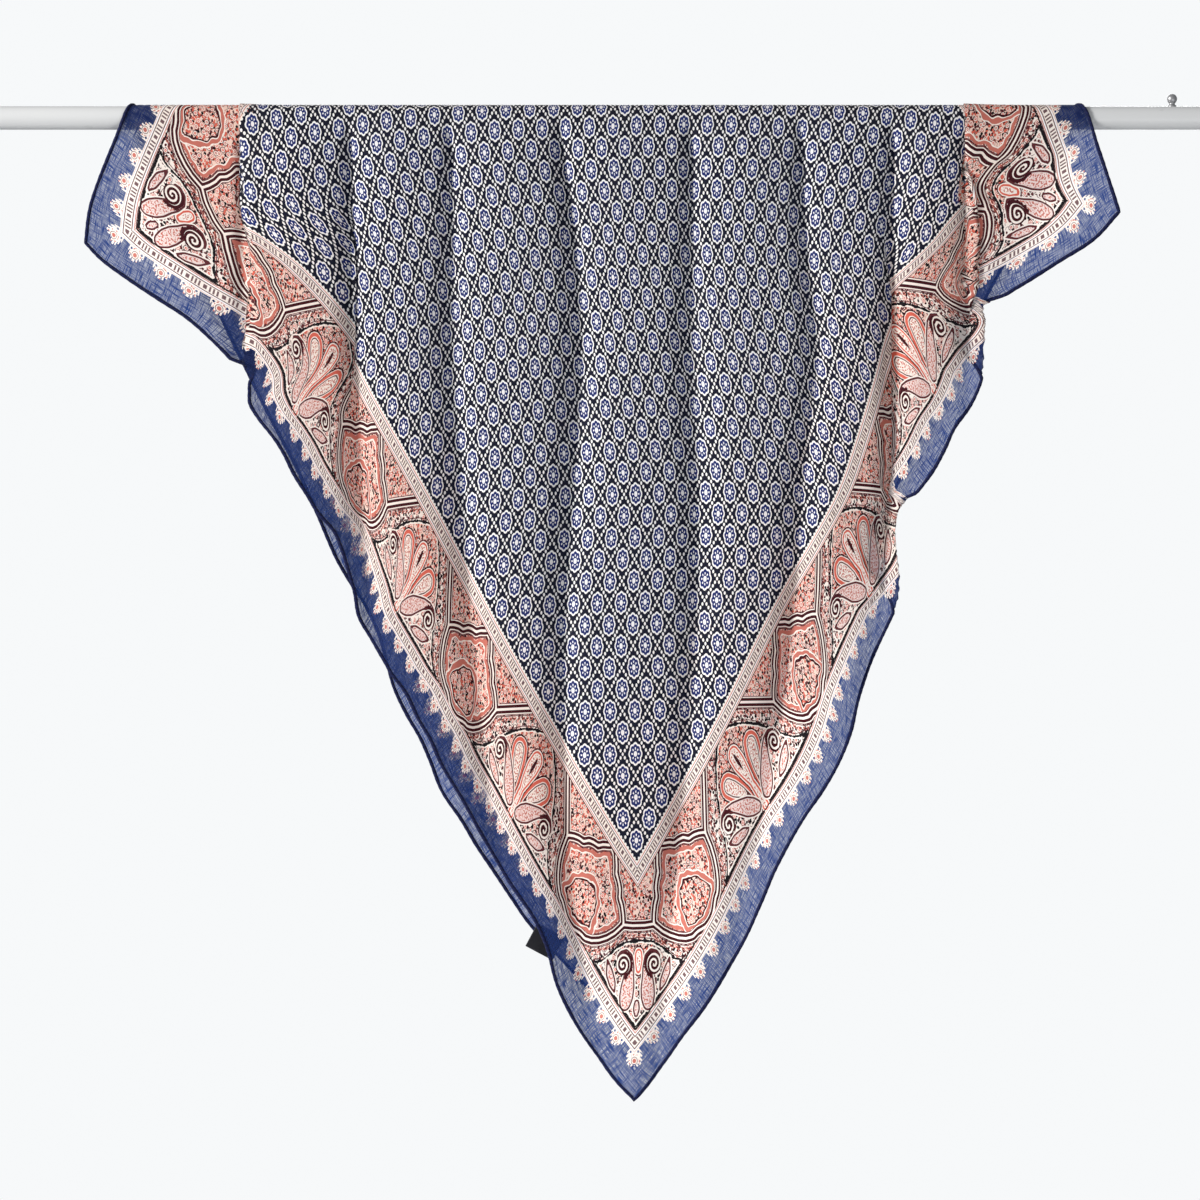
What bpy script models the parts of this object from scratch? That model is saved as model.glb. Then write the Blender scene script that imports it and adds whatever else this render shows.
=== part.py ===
"""Square summer shawl with rolled hems, hung cornerwise over a straight round rail.

Metres, +Z up, the front towards -Y. The origin is the middle of the rail, on its axis. The cloth
square is sheared like a trellis by its own weight, so its corners hang at the front, at the back and
past the rail on each side. Two numbers place a point on the flat square, both counted in sides:
across, from -1 at the left corner to +1 at the right one, and up, from 0 at the front corner to 2 at
the back one. A third, run, is the way down from the rail's top along the cloth, less than 0 behind.
"""

import math

import bpy
import numpy as np

# Sizes, in metres
SIDE = 1.20
WALL = 0.0010
HEM_RADIUS = 0.0011
GAP = 0.0003
CLEARANCE = 0.0005
HEM_INSET = 0.0033

RAIL_RADIUS = 0.0125
RAIL_LENGTH = 1.320
RAIL_SIDES = 32
STUD_X = 0.6125
STUD_HEAD_RADIUS = 0.0055
STUD_NECK_RADIUS = 0.0032
STUD_HEIGHT = 0.0130

LABEL_LONG = 0.033
LABEL_SHORT = 0.028
LABEL_THICK = 0.0008
LABEL_X = -0.0590
LABEL_Z = -0.8830
LABEL_TURN = math.radians(28)

# How the cloth hangs, in metres
BEND_RADIUS = RAIL_RADIUS + HEM_RADIUS + CLEARANCE
QUARTER_BEND = BEND_RADIUS * math.pi / 2
FRONT_CORNER_RUN = 1.0713
RUN_PER_UP = 1.01475
TILT_RUN = 0.0165
DROOP_RUN = 0.0841
DROOP_START = 0.1
VALLEY_START_RUN = 0.022
VALLEY_FULL_RUN = 0.130

# The cloth's edges, in millimetres: the run from the rail's top, and how far right of the middle
FLAP_LEFT = ((0, -500), (44, -516), (81, -531), (116, -543), (157, -549))
FLAP_RIGHT = ((0, 512), (24, 522), (51, 530), (81, 540), (124, 554))
FRONT_LEFT = (
    (157, -549), (173, -534), (234, -445), (285, -391), (306, -377), (331, -373), (365, -349),
    (404, -326), (446, -302), (494, -281), (534, -261), (557, -257), (603, -230), (617, -228),
    (663, -206), (712, -180), (774, -148), (830, -113), (885, -78), (907, -62), (950, -45),
    (1004, -17), (1052, 18), (1071, 37),
)
FRONT_RIGHT = (
    (124, 554), (157, 522), (196, 460), (229, 413), (275, 411), (315, 403), (353, 379),
    (400, 355), (448, 320), (467, 316), (518, 320), (558, 310), (606, 289), (643, 276),
    (712, 254), (766, 220), (825, 187), (901, 154), (971, 112), (1031, 69), (1071, 37),
)
BACK_LEFT = (
    (0, -500), (111, -465), (218, -415), (341, -355), (479, -276), (581, -235), (669, -191),
    (747, -146), (839, -92), (958, -11),
)
BACK_RIGHT = (
    (0, 512), (128, 460), (222, 410), (333, 357), (464, 296), (599, 229), (687, 173),
    (784, 116), (860, 62), (958, -11),
)

# The folds that hang from the rail, in millimetres. lean is how far each moves right per metre down,
# crest is its height beside the line, on the side told by crest_side, and valley its depth below it.
FOLD_COLUMNS = ("rail_x", "lean", "crest_side", "crest", "valley", "width", "fade_run")
FRONT_FOLDS = (
    (-384, 32, 1, 5.0, 8.0, 15, 900),
    (-269, 24, 1, 3.0, 7.5, 17, 700),
    (-162, 22, 1, 3.4, 8.0, 17, 800),
    (-40, 52, 1, 3.8, 9.5, 19, 900),
    (98, -8, -1, 3.4, 8.0, 18, 860),
    (216, 44, 1, 3.4, 8.0, 17, 700),
    (313, 6, 1, 3.6, 9.0, 17, 740),
    (389, 4, 1, 3.6, 6.0, 13, 500),
    (414, 2, -1, 4.6, 7.5, 14, 900),
)
BACK_FOLDS = (
    (-330, 60, 1, 3.2, 7.0, 22, 800),
    (-215, 46, -1, 3.0, 8.0, 24, 900),
    (-96, 30, 1, 3.4, 8.5, 24, 1000),
    (30, -20, 1, 3.0, 8.0, 24, 1000),
    (152, -44, -1, 3.4, 8.5, 24, 900),
    (270, -60, 1, 3.2, 7.0, 22, 800),
    (372, -70, 1, 3.4, 6.0, 20, 600),
)

# How finely each piece is laid out
BEND_ROWS = 5
FRONT_COLUMNS, FRONT_ROWS = 82, 17
BACK_COLUMNS, BACK_ROWS = 58, 14
CORNER_MARGIN = 0.004
BACK_MARGIN = 0.007
BEND_RUNS = (0.0, 0.004, 0.008, 0.012, 0.016, 0.020, 0.025, 0.032)


def clear_scene():
    """Takes away what Blender starts with."""
    for thing in list(bpy.data.objects):
        bpy.data.objects.remove(thing, do_unlink=True)


def material(name, color, roughness, metallic=0.0):
    """A plain Principled material."""
    made = bpy.data.materials.new(name)
    made.use_nodes = True
    shader = made.node_tree.nodes["Principled BSDF"]
    shader.inputs["Base Color"].default_value = (*color, 1.0)
    shader.inputs["Roughness"].default_value = roughness
    shader.inputs["Metallic"].default_value = metallic
    return made


def smooth_step(value):
    """Rises softly from 0 to 1 as value goes from 0 to 1."""
    t = np.clip(value, 0.0, 1.0)
    return t * t * (3.0 - 2.0 * t)


def curve_through(rows, at):
    """A smooth curve through rows of (run, x) in millimetres, read at runs in metres."""
    runs, values = np.array(rows, dtype=float).T / 1000.0
    slopes = np.gradient(values, runs)
    first = np.clip(np.searchsorted(runs, at) - 1, 0, len(runs) - 2)
    step = runs[first + 1] - runs[first]
    t = np.clip((at - runs[first]) / step, 0.0, 1.0)
    rise = t * t * (3.0 - 2.0 * t)
    leave = t * (1.0 - t) ** 2 * step * slopes[first]
    arrive = t * t * (1.0 - t) * step * slopes[first + 1]
    return values[first] * (1.0 - rise) + values[first + 1] * rise + leave - arrive


def run_at(across, up):
    """The way down from the rail's top along the cloth, for points of the flat square."""
    droop = DROOP_RUN * np.clip((np.abs(across) - DROOP_START) / (1.0 - DROOP_START), 0.0, None) ** 2
    return FRONT_CORNER_RUN - RUN_PER_UP * up - TILT_RUN * across + droop


def edge_at(run, flap, front, back):
    """Where one edge of the cloth hangs, from its three tables."""
    corner_run = front[0][0] / 1000.0
    above = curve_through(flap, np.clip(run, 0.0, corner_run))
    below = curve_through(front, run)
    behind = curve_through(back, -run)
    return np.where(run < 0.0, behind, np.where(run < corner_run, above, below))


def folds_at(x, run, folds):
    """How far the folds move the cloth away from the rail, with valleys as less than 0."""
    down = np.abs(run)
    moved = np.zeros_like(x)
    for row in folds:
        fold = dict(zip(FOLD_COLUMNS, row))
        width = fold["width"] / 1000.0
        line = (fold["rail_x"] + fold["lean"] * down) / 1000.0
        offset = (x - line) / width
        fade = 1.0 - 0.75 * smooth_step(down * 1000.0 / fold["fade_run"])
        starts = smooth_step((down - VALLEY_START_RUN) / (VALLEY_FULL_RUN - VALLEY_START_RUN))
        crest = np.exp(-((1.1 * (offset - 1.1 * fold["crest_side"])) ** 2))
        moved += fold["crest"] / 1000.0 * fade * crest
        moved -= fold["valley"] / 1000.0 * fade * starts * np.exp(-(offset**2))
    return moved


def hang(across, up):
    """The place in space of points of the flat square, as three arrays x, y and z."""
    across = np.asarray(across, dtype=float)
    up = np.asarray(up, dtype=float)
    half_width = np.maximum(np.minimum(up, 2.0 - up), 1e-9)
    run = run_at(across, up)
    left = edge_at(run_at(-half_width, up), FLAP_LEFT, FRONT_LEFT, BACK_LEFT)
    right = edge_at(run_at(half_width, up), FLAP_RIGHT, FRONT_RIGHT, BACK_RIGHT)
    share = (across / half_width + 1.0) / 2.0
    x = left + share * (right - left)
    moved = np.where(run >= 0.0, folds_at(x, run, FRONT_FOLDS), folds_at(x, run, BACK_FOLDS))
    blend = smooth_step((np.abs(run) + 0.002) / QUARTER_BEND)
    shared = 0.5 * (folds_at(x, np.abs(run), FRONT_FOLDS) + folds_at(x, np.abs(run), BACK_FOLDS))
    moved = blend * moved + (1.0 - blend) * shared
    angle = np.clip(run, -QUARTER_BEND, QUARTER_BEND) / BEND_RADIUS
    below = np.maximum(np.abs(run) - QUARTER_BEND, 0.0)
    y = -(BEND_RADIUS + moved) * np.sin(angle)
    z = (BEND_RADIUS + moved) * np.cos(angle) - below
    return x, y, z


def hem_crossing(side, run):
    """How far across a hem above the side corners is at this run, on one side (-1 or 1)."""
    half = np.linspace(0.0, 1.0, 2001)
    return side * float(np.interp(run, run_at(side * half, 2.0 - half), half))


def columns_with_bend(columns, runs):
    """Columns with more of them where the hems bend over the rail, one at each of these runs."""
    added = np.sort([hem_crossing(side, run) for side in (-1, 1) for run in runs])
    added = added[(added > columns[0]) & (added < columns[-1])]
    room = 0.5 * (columns[1] - columns[0])
    apart = np.abs(columns[:, None] - added[None, :]).min(axis=1) > room
    apart[[0, -1]] = True
    return np.sort(np.concatenate([columns[apart], added]))


def cloth_wall(name, across, lower, upper, rows, color):
    """One panel as a closed wall, its columns running down the cloth between two limits of up."""
    low_run = run_at(across, lower)
    high_run = run_at(across, upper)
    bend = np.minimum(QUARTER_BEND * 1.15, 0.9 * np.abs(low_run - high_run))
    bend = np.copysign(bend, low_run - high_run)
    near = high_run[:, None] + bend[:, None] * np.linspace(0.0, 1.0, BEND_ROWS + 1)
    start = high_run + bend
    far = start[:, None] + (low_run - start)[:, None] * np.linspace(0.0, 1.0, rows + 1)[1:]
    run = np.concatenate([near, far], axis=1)
    up = upper[:, None] + (run - high_run[:, None]) / -RUN_PER_UP
    points = np.stack(hang(np.repeat(across[:, None], up.shape[1], axis=1), up), axis=-1)
    columns, rings = up.shape
    faces = []
    for i in range(columns - 1):
        for j in range(rings - 1):
            corner = i * rings + j
            faces.append((corner, corner + 1, corner + rings + 1, corner + rings))
    mesh = bpy.data.meshes.new(name)
    mesh.from_pydata(points.reshape(-1, 3).tolist(), [], faces)
    mesh.update()
    return solid_object(name, mesh, color, wall=WALL)


def solid_object(name, mesh, color, wall=0.0):
    """Links a mesh as a named part, with a wall if it is a bare sheet."""
    part = bpy.data.objects.new(name, mesh)
    shawl_parts().objects.link(part)
    mesh.materials.append(color)
    for face in mesh.polygons:
        face.use_smooth = True
    if wall:
        solidify = part.modifiers.new("wall", "SOLIDIFY")
        solidify.thickness = wall
        solidify.offset = 0.0
        solidify.use_even_offset = True
        solidify.use_quality_normals = True
    return part


def shawl_parts():
    """The collection that holds the parts."""
    name = "summer_shawl"
    if name not in bpy.data.collections:
        bpy.context.scene.collection.children.link(bpy.data.collections.new(name))
    return bpy.data.collections[name]


def front_columns():
    """How far across each column of the front stretch is."""
    end = 1.0 - 2.0 * HEM_INSET / SIDE - CORNER_MARGIN
    return columns_with_bend(np.linspace(-end, end, FRONT_COLUMNS + 1), BEND_RUNS)


def back_columns():
    """How far across each column of the back stretch is."""
    first, last = (hem_crossing(side, -BACK_MARGIN) for side in (-1, 1))
    across = np.linspace(first, last, BACK_COLUMNS + 1)
    across[np.argmin(np.abs(across))] = 0.0
    return columns_with_bend(across, [-run for run in BEND_RUNS])


def front_cloth(color):
    """The stretch in front of the rail, with both side corners."""
    inset = 2.0 * HEM_INSET / SIDE
    across = front_columns()
    lower = np.abs(across) + inset
    rail_up = (run_at(across, 0.0) - GAP / 2) / RUN_PER_UP
    upper = np.minimum(rail_up, 2.0 - np.abs(across) - inset)
    return cloth_wall("cloth_front", across, lower, upper, FRONT_ROWS, color)


def back_cloth(color):
    """The stretch behind the rail, down to the back corner."""
    across = back_columns()
    upper = (run_at(across, 0.0) + GAP / 2) / RUN_PER_UP
    lower = 2.0 - np.abs(across) - 2.0 * HEM_INSET / SIDE
    return cloth_wall("cloth_back", across, lower, upper, BACK_ROWS, color)


def hem(name, across, up, color):
    """A rolled hem along one side of the square, through points of its edge."""
    points = np.stack(hang(across, up), axis=-1)
    curve = bpy.data.curves.new(name, "CURVE")
    curve.dimensions = "3D"
    curve.bevel_depth = HEM_RADIUS
    curve.bevel_resolution = 1
    curve.use_fill_caps = True
    line = curve.splines.new("POLY")
    line.points.add(len(points) - 1)
    for point, place in zip(line.points, points):
        point.co = (*place, 1.0)
    line.use_smooth = True
    curve.materials.append(color)
    part = bpy.data.objects.new(name, curve)
    shawl_parts().objects.link(part)
    return part


def hems(color):
    """The four rolled hems, at the columns of the cloth beside them."""
    end = 1.0 - 2.5 * HEM_RADIUS / SIDE
    trim = 1.0 - end
    front, back = np.abs(front_columns()), back_columns()
    for word, side in (("left", -1), ("right", 1)):
        beside = front[np.sign(front_columns()) == side]
        below = np.sort(beside[(beside > 2 * trim) & (beside < end - trim)])
        below = np.concatenate([[trim], below, [end]])
        hem(f"hem_front_{word}", side * below, below, color)
        crossing = abs(hem_crossing(side, 0.0))
        behind = side * back[np.sign(back) == side]
        above = np.concatenate([behind, beside[beside > crossing + 1e-6], [trim, crossing, end]])
        above = np.unique(above[(above >= trim) & (above <= end)])
        hem(f"hem_back_{word}", side * above, 2.0 - above, color)


def rail(color):
    """The plain round rail, its ends cut square."""
    bpy.ops.mesh.primitive_cylinder_add(
        vertices=RAIL_SIDES, radius=RAIL_RADIUS, depth=RAIL_LENGTH, rotation=(0.0, math.pi / 2, 0.0)
    )
    return adopt("rail", color)


def rail_stud(color):
    """The small round-headed stud that stands on the rail near its right end."""
    foot = RAIL_RADIUS + GAP
    neck = STUD_HEIGHT - 2 * STUD_HEAD_RADIUS
    profile = [(0.0, foot), (STUD_NECK_RADIUS, foot), (STUD_NECK_RADIUS, foot + neck)]
    centre = foot + STUD_HEIGHT - STUD_HEAD_RADIUS
    for i in range(7):
        angle = math.radians(-50 + i * 140 / 6)
        profile.append(
            (STUD_HEAD_RADIUS * math.cos(angle), centre + STUD_HEAD_RADIUS * math.sin(angle))
        )
    profile[-1] = (0.0, foot + STUD_HEIGHT)
    mesh = bpy.data.meshes.new("rail_stud")
    edges = [(i, i + 1) for i in range(len(profile) - 1)]
    mesh.from_pydata([(r, 0.0, z) for r, z in profile], edges, [])
    part = solid_object("rail_stud", mesh, color)
    part.location.x = STUD_X
    turn = part.modifiers.new("turn", "SCREW")
    turn.axis = "Z"
    turn.steps = 16
    turn.render_steps = 16
    turn.use_merge_vertices = True
    turn.merge_threshold = 0.0001
    turn.use_normal_calculate = True
    turn.use_smooth_shade = True
    return part


def label(color):
    """The bare woven label on the wrong side of the back stretch, near its corner."""
    edge = np.linspace(-0.11, -0.01, 11)
    depth = hang(edge, 2.0 + edge)[1].min() - HEM_RADIUS - GAP - LABEL_THICK / 2
    bpy.ops.mesh.primitive_cube_add(size=1.0, location=(LABEL_X, depth, LABEL_Z))
    part = adopt("label", color, smooth=False)
    part.scale = (LABEL_SHORT, LABEL_THICK, LABEL_LONG)
    part.rotation_euler = (0.0, LABEL_TURN, 0.0)
    return part


def adopt(name, color, smooth=True):
    """Names the active object and moves it to the parts, with its material."""
    part = bpy.context.object
    part.name = name
    part.data.name = name
    for holder in list(part.users_collection):
        holder.objects.unlink(part)
    shawl_parts().objects.link(part)
    part.data.materials.append(color)
    for face in part.data.polygons:
        face.use_smooth = smooth and len(face.vertices) == 4
    return part


def main():
    """Builds every part."""
    clear_scene()
    cloth = material("printed_voile", (0.07, 0.09, 0.25), 0.9)
    rolled = material("rolled_hem", (0.008, 0.012, 0.06), 0.85)
    woven = material("woven_label", (0.012, 0.012, 0.014), 0.7)
    painted = material("painted_rail", (0.72, 0.74, 0.75), 0.4)
    steel = material("stud_steel", (0.35, 0.35, 0.36), 0.4, metallic=1.0)
    rail(painted)
    rail_stud(steel)
    front_cloth(cloth)
    back_cloth(cloth)
    hems(rolled)
    label(woven)


main()
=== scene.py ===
"""Thin printed summer shawl, hung cornerwise in soft folds over a straight rail.

The cloth is one square with its own flat coordinates: p runs along the side from the front corner to
the right corner, q along the side from the front corner to the left corner, both from 0 to 1. Drape
says where a point of the flat square hangs, and places the cloth and its rolled hem. The print is
drawn in the same flat coordinates, so it follows each fold.
"""

import logging
import math
from dataclasses import dataclass, field
from enum import Enum
from typing import Any, Sequence

import bpy
import numpy as np
from mathutils import Matrix, Vector


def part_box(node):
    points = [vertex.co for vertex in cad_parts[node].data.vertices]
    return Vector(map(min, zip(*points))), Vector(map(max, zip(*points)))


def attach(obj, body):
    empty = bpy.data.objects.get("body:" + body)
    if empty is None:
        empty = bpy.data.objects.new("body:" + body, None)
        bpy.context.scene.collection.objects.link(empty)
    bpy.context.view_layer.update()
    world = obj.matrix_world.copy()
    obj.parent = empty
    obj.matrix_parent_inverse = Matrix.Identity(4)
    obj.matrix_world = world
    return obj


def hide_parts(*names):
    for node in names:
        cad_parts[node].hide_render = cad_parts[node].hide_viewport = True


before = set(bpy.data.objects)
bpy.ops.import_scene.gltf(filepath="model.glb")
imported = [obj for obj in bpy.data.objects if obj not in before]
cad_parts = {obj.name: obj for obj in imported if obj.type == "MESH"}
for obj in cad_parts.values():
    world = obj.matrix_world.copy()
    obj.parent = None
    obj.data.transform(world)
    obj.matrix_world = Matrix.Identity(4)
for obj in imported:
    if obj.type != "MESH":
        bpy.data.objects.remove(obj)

LOG = logging.getLogger("summer_shawl")

Array = np.ndarray
Point = tuple[float, float]
Triple = tuple[float, float, float]
Colour = Triple
Rows = tuple[Point, ...]
Stroke = tuple[Triple, ...]
Socket = bpy.types.NodeSocket
Material = bpy.types.Material
Thing = bpy.types.Object
Layers = Sequence[tuple[Any, Any]]

MM = 0.001
SIDE_MM = 1200.0
FULL_TURN = 2 * math.pi
LATTICE = 97


class Hand(Enum):
    """Which panel of a tuck lies on top."""

    RIGHT_OVER_LEFT = 1
    LEFT_OVER_RIGHT = -1


class Zone(Enum):
    """The parts of the print, each with a material slot of its own on the cloth."""

    MARGIN = 0
    BORDER = 1
    FIELD = 2


# ---------------------------------------------------------------- numbers


def smooth_step(t: Array) -> Array:
    """Rises softly from 0 to 1 as t goes from 0 to 1."""
    t = np.clip(t, 0.0, 1.0)
    return t * t * (3.0 - 2.0 * t)


def curve_through(rows: Rows, at: Array) -> Array:
    """A smooth curve through the rows of a table.

    Args:
        rows: (run, value) pairs in millimetres, by rising run.
        at: runs in metres.

    Returns:
        The curve's values at those runs, in metres.
    """
    runs, values = np.array(rows, dtype=float).T / 1000.0
    slopes = np.gradient(values, runs)
    first = np.clip(np.searchsorted(runs, at) - 1, 0, len(runs) - 2)
    step = runs[first + 1] - runs[first]
    t = np.clip((at - runs[first]) / step, 0.0, 1.0)
    rise = t * t * (3.0 - 2.0 * t)
    leave = t * (1.0 - t) ** 2 * step * slopes[first]
    arrive = t * t * (1.0 - t) * step * slopes[first + 1]
    return values[first] * (1.0 - rise) + values[first + 1] * rise + leave - arrive


def soft_noise(a: Array, b: Array, seed: int) -> Array:
    """Smooth uneven waves from -1 to 1 over two coordinates that count cells.

    Args:
        a: first coordinate, in cells.
        b: second coordinate, in cells.
        seed: picks the pattern.

    Returns:
        One value for each point.
    """
    lattice = np.random.default_rng(seed).uniform(-1.0, 1.0, (LATTICE, LATTICE))
    i, j = np.floor(a).astype(int), np.floor(b).astype(int)
    u, v = smooth_step(a - i), smooth_step(b - j)
    i, j, after, above = i % LATTICE, j % LATTICE, (i + 1) % LATTICE, (j + 1) % LATTICE
    near = lattice[i, j] * (1 - u) + lattice[after, j] * u
    far = lattice[i, above] * (1 - u) + lattice[after, above] * u
    return near * (1 - v) + far * v


# ---------------------------------------------------------------- how the square hangs


@dataclass(frozen=True)
class Groove:
    """One soft groove that runs down from the rail, between two rounded panels.

    `line` holds (run, x) rows in millimetres. `depth` and `width` are in millimetres, and `left` is the
    share of the depth that is left at the lower corner. The groove is pinched near the rail.
    """

    line: Rows
    depth: float
    width: float
    left: float = 0.68
    pinch: float = 0.35


@dataclass(frozen=True)
class Tuck:
    """A flat tuck, where one panel lies over its neighbour, with sizes in millimetres.

    It opens from `open_run` to `full_run` below the rail's top and closes from `close_run` to
    `gone_run`.
    """

    rail_x: float
    lean: float
    overlap: float
    hand: Hand
    open_run: float
    full_run: float
    close_run: float
    gone_run: float
    lift: float = 1.5


@dataclass(frozen=True)
class Drape:
    """Where each point of the flat square hangs. Lengths are in metres, table rows in millimetres.

    A run is the distance from the rail's top along the cloth, positive down the front and negative
    down the back. A row of an edge's table is (run, x), and one of `folded_right` is (run, width of
    the fold). A row of `spread` is (up, x for each unit of across, x of the middle), and one of
    `ripple_cells` is (width, length, shift, seed) of the broad, the fine and the hem's puckers.
    """

    side: float = 1.20
    bend_radius: float = 0.0141
    front_corner_run: float = 1.0713
    run_per_up: float = 1.01475
    tilt_run: float = 0.0165
    droop_run: float = 0.0841
    droop_start: float = 0.1
    flap_left: Rows = ((0, -500), (44, -516), (81, -531), (116, -543), (157, -549))
    flap_right: Rows = ((0, 512), (24, 522), (51, 530), (81, 540), (124, 554))
    front_left: Rows = (
        (157, -549), (173, -534), (196, -503), (216, -473), (234, -445), (259, -416), (285, -391),
        (306, -377), (331, -373), (345, -364), (365, -348), (380, -338), (404, -326), (428, -311),
        (447, -299), (464, -284), (485, -275), (508, -268), (530, -262), (557, -257), (580, -244),
        (603, -230), (617, -222), (634, -209), (666, -193), (688, -180), (709, -171), (752, -146),
        (794, -123), (837, -98), (880, -69), (907, -57), (950, -45),
        (976, -33), (1004, -17), (1030, 1), (1052, 18), (1071, 37),
    )
    front_right: Rows = (
        (124, 554), (157, 522), (175, 493), (196, 460), (214, 431), (229, 413), (250, 412),
        (275, 411), (296, 409), (315, 403), (333, 394), (353, 379), (380, 366), (400, 355),
        (426, 336), (448, 320), (467, 316), (491, 317), (518, 320), (540, 318), (558, 310),
        (580, 300), (606, 289), (643, 276), (680, 267), (712, 254), (740, 238), (766, 220),
        (798, 201), (825, 187), (858, 173), (901, 154), (937, 134), (971, 112), (1004, 87),
        (1031, 69), (1053, 53), (1071, 37),
    )
    back_left: Rows = (
        (0, -500), (111, -465), (218, -415), (341, -355), (404, -322), (447, -303), (471, -293),
        (494, -283), (517, -270), (540, -255), (575, -238), (603, -230), (634, -221), (663, -207),
        (689, -192), (712, -182), (745, -169), (774, -149), (803, -132), (830, -114), (862, -93),
        (885, -77), (907, -57), (958, -11),
    )
    back_right: Rows = (
        (0, 512), (128, 460), (222, 410), (333, 357), (464, 296), (599, 229), (687, 173),
        (784, 116), (860, 62), (958, -11),
    )
    folded_right: Rows = (
        (0, 0), (213, 0), (228, 30), (245, 42), (262, 36), (282, 14), (302, 0), (424, 0), (444, 30),
        (470, 42), (500, 36), (530, 14), (552, 0), (1071, 0),
    )
    spread: Stroke = (
        (0.00, 860, 36), (0.06, 800, 37), (0.10, 742, 39), (0.14, 690, 41), (0.20, 645, 41),
        (0.26, 620, 39), (0.34, 602, 38), (0.42, 580, 37), (0.50, 562, 35), (0.58, 556, 37),
        (0.64, 549, 38), (0.70, 533, 33), (0.76, 518, 26), (0.82, 504, 19), (0.88, 502, 12),
        (0.94, 520, 6), (0.99, 545, 2), (1.06, 562, 1), (1.16, 577, -1), (1.28, 590, -5),
        (1.40, 602, -5), (1.52, 615, -2), (1.64, 645, -3), (1.76, 672, -6), (1.88, 710, -9),
        (2.00, 740, -11),
    )
    flap_share: float = 0.20
    fold_gap: float = 0.0024
    fold_turn: float = 0.005
    fold_full: float = 0.01
    bulge: float = 9.5
    bulge_loss: float = 0.42
    bulge_kept_to: float = 0.35
    panel_start: float = 0.002
    panel_rise: float = 0.075
    groove_start: float = 0.019
    groove_rise: float = 0.050
    pinch_run: float = 0.30
    tuck_room: float = 0.02
    tuck_reach: float = 0.028
    ripple_cells: tuple[tuple[float, float, float, int], ...] = (
        (0.034, 0.110, 5.0, 11), (0.013, 0.050, 9.0, 23), (0.030, 0.034, 40.0, 5),
    )
    ripple_heights: Triple = (0.9, 0.30, 1.3)
    hem_reach: float = 0.020
    front_grooves: tuple[Groove, ...] = (
        Groove(((0, -384), (150, -382), (300, -374), (500, -360), (1071, -330)), 4.8, 9),
        Groove(((0, -268), (150, -267), (330, -260), (1071, -220)), 9.6, 13),
        Groove(((0, -161), (150, -160), (300, -158), (420, -149), (600, -135), (1071, -70)), 9.6, 14),
        Groove(
            ((0, -42), (60, -42), (140, -32), (270, -23), (415, -31), (560, -40), (800, -36), (1071, 5)),
            12.6,
            14,
        ),
        Groove(((0, 97), (140, 96), (270, 97), (415, 103), (560, 102), (800, 84), (1071, 60)), 10.8, 15),
        Groove(
            ((0, 216), (60, 214), (140, 216), (270, 229), (415, 214), (560, 204), (1071, 110)),
            10.8,
            14,
        ),
        Groove(((0, 313), (60, 311), (150, 309), (300, 312), (1071, 230)), 11.4, 12),
        Groove(((0, 388), (150, 389), (400, 392), (1071, 300)), 4.8, 9),
    )
    back_bulge: float = 7.0
    back_grooves: tuple[Groove, ...] = (
        Groove(((0, -345), (300, -322), (958, -250)), 6.0, 20, 0.4, 0.7),
        Groove(((0, -225), (300, -208), (600, -180), (958, -120)), 7.0, 22, 0.4, 0.7),
        Groove(((0, -104), (300, -92), (600, -80), (958, -40)), 7.5, 22, 0.4, 0.7),
        Groove(((0, 28), (300, 24), (600, 10), (958, -8)), 7.0, 22, 0.4, 0.7),
        Groove(((0, 158), (300, 140), (600, 112), (958, 50)), 7.5, 22, 0.4, 0.7),
        Groove(((0, 276), (300, 250), (958, 150)), 6.5, 20, 0.4, 0.7),
        Groove(((0, 384), (300, 350), (958, 230)), 5.0, 18, 0.4, 0.7),
    )
    tucks: tuple[Tuck, ...] = (
        Tuck(-374, 0, 25, Hand.RIGHT_OVER_LEFT, -40, -10, 300, 345),
        Tuck(-262, -20, 14, Hand.LEFT_OVER_RIGHT, 110, 190, 275, 345),
        Tuck(399, 0, 22, Hand.RIGHT_OVER_LEFT, -40, -10, 70, 130),
        Tuck(381, 100, 22, Hand.LEFT_OVER_RIGHT, 60, 110, 190, 245),
        Tuck(305, 0, 16, Hand.LEFT_OVER_RIGHT, 150, 220, 395, 450),
    )

    @property
    def quarter_bend(self) -> float:
        """Run from the rail's top to where the cloth leaves the rail."""
        return self.bend_radius * math.pi / 2

    def run_at(self, across: Array, up: Array) -> Array:
        """The run of a point of the square.

        Args:
            across: p - q.
            up: p + q.

        Returns:
            Signed distance from the rail's top along the cloth.
        """
        beyond = np.clip((np.abs(across) - self.droop_start) / (1.0 - self.droop_start), 0.0, None)
        level = self.front_corner_run - self.run_per_up * up
        return level - self.tilt_run * across + self.droop_run * beyond**2

    def edge_at(self, run: Array, flap: Rows, front: Rows, back: Rows) -> Array:
        """How far out one side of the cloth lies.

        Args:
            run: signed distance from the rail's top.
            flap: table of the side corner's back edge, in front of the rail.
            front: table of the edge from the side corner down to the front corner.
            back: table of the edge behind the rail.

        Returns:
            The edge's x.
        """
        corner = front[0][0] / 1000.0
        x = np.where(run < corner, curve_through(flap, run), curve_through(front, run))
        return np.where(run < 0.0, curve_through(back, -run), x)

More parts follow.
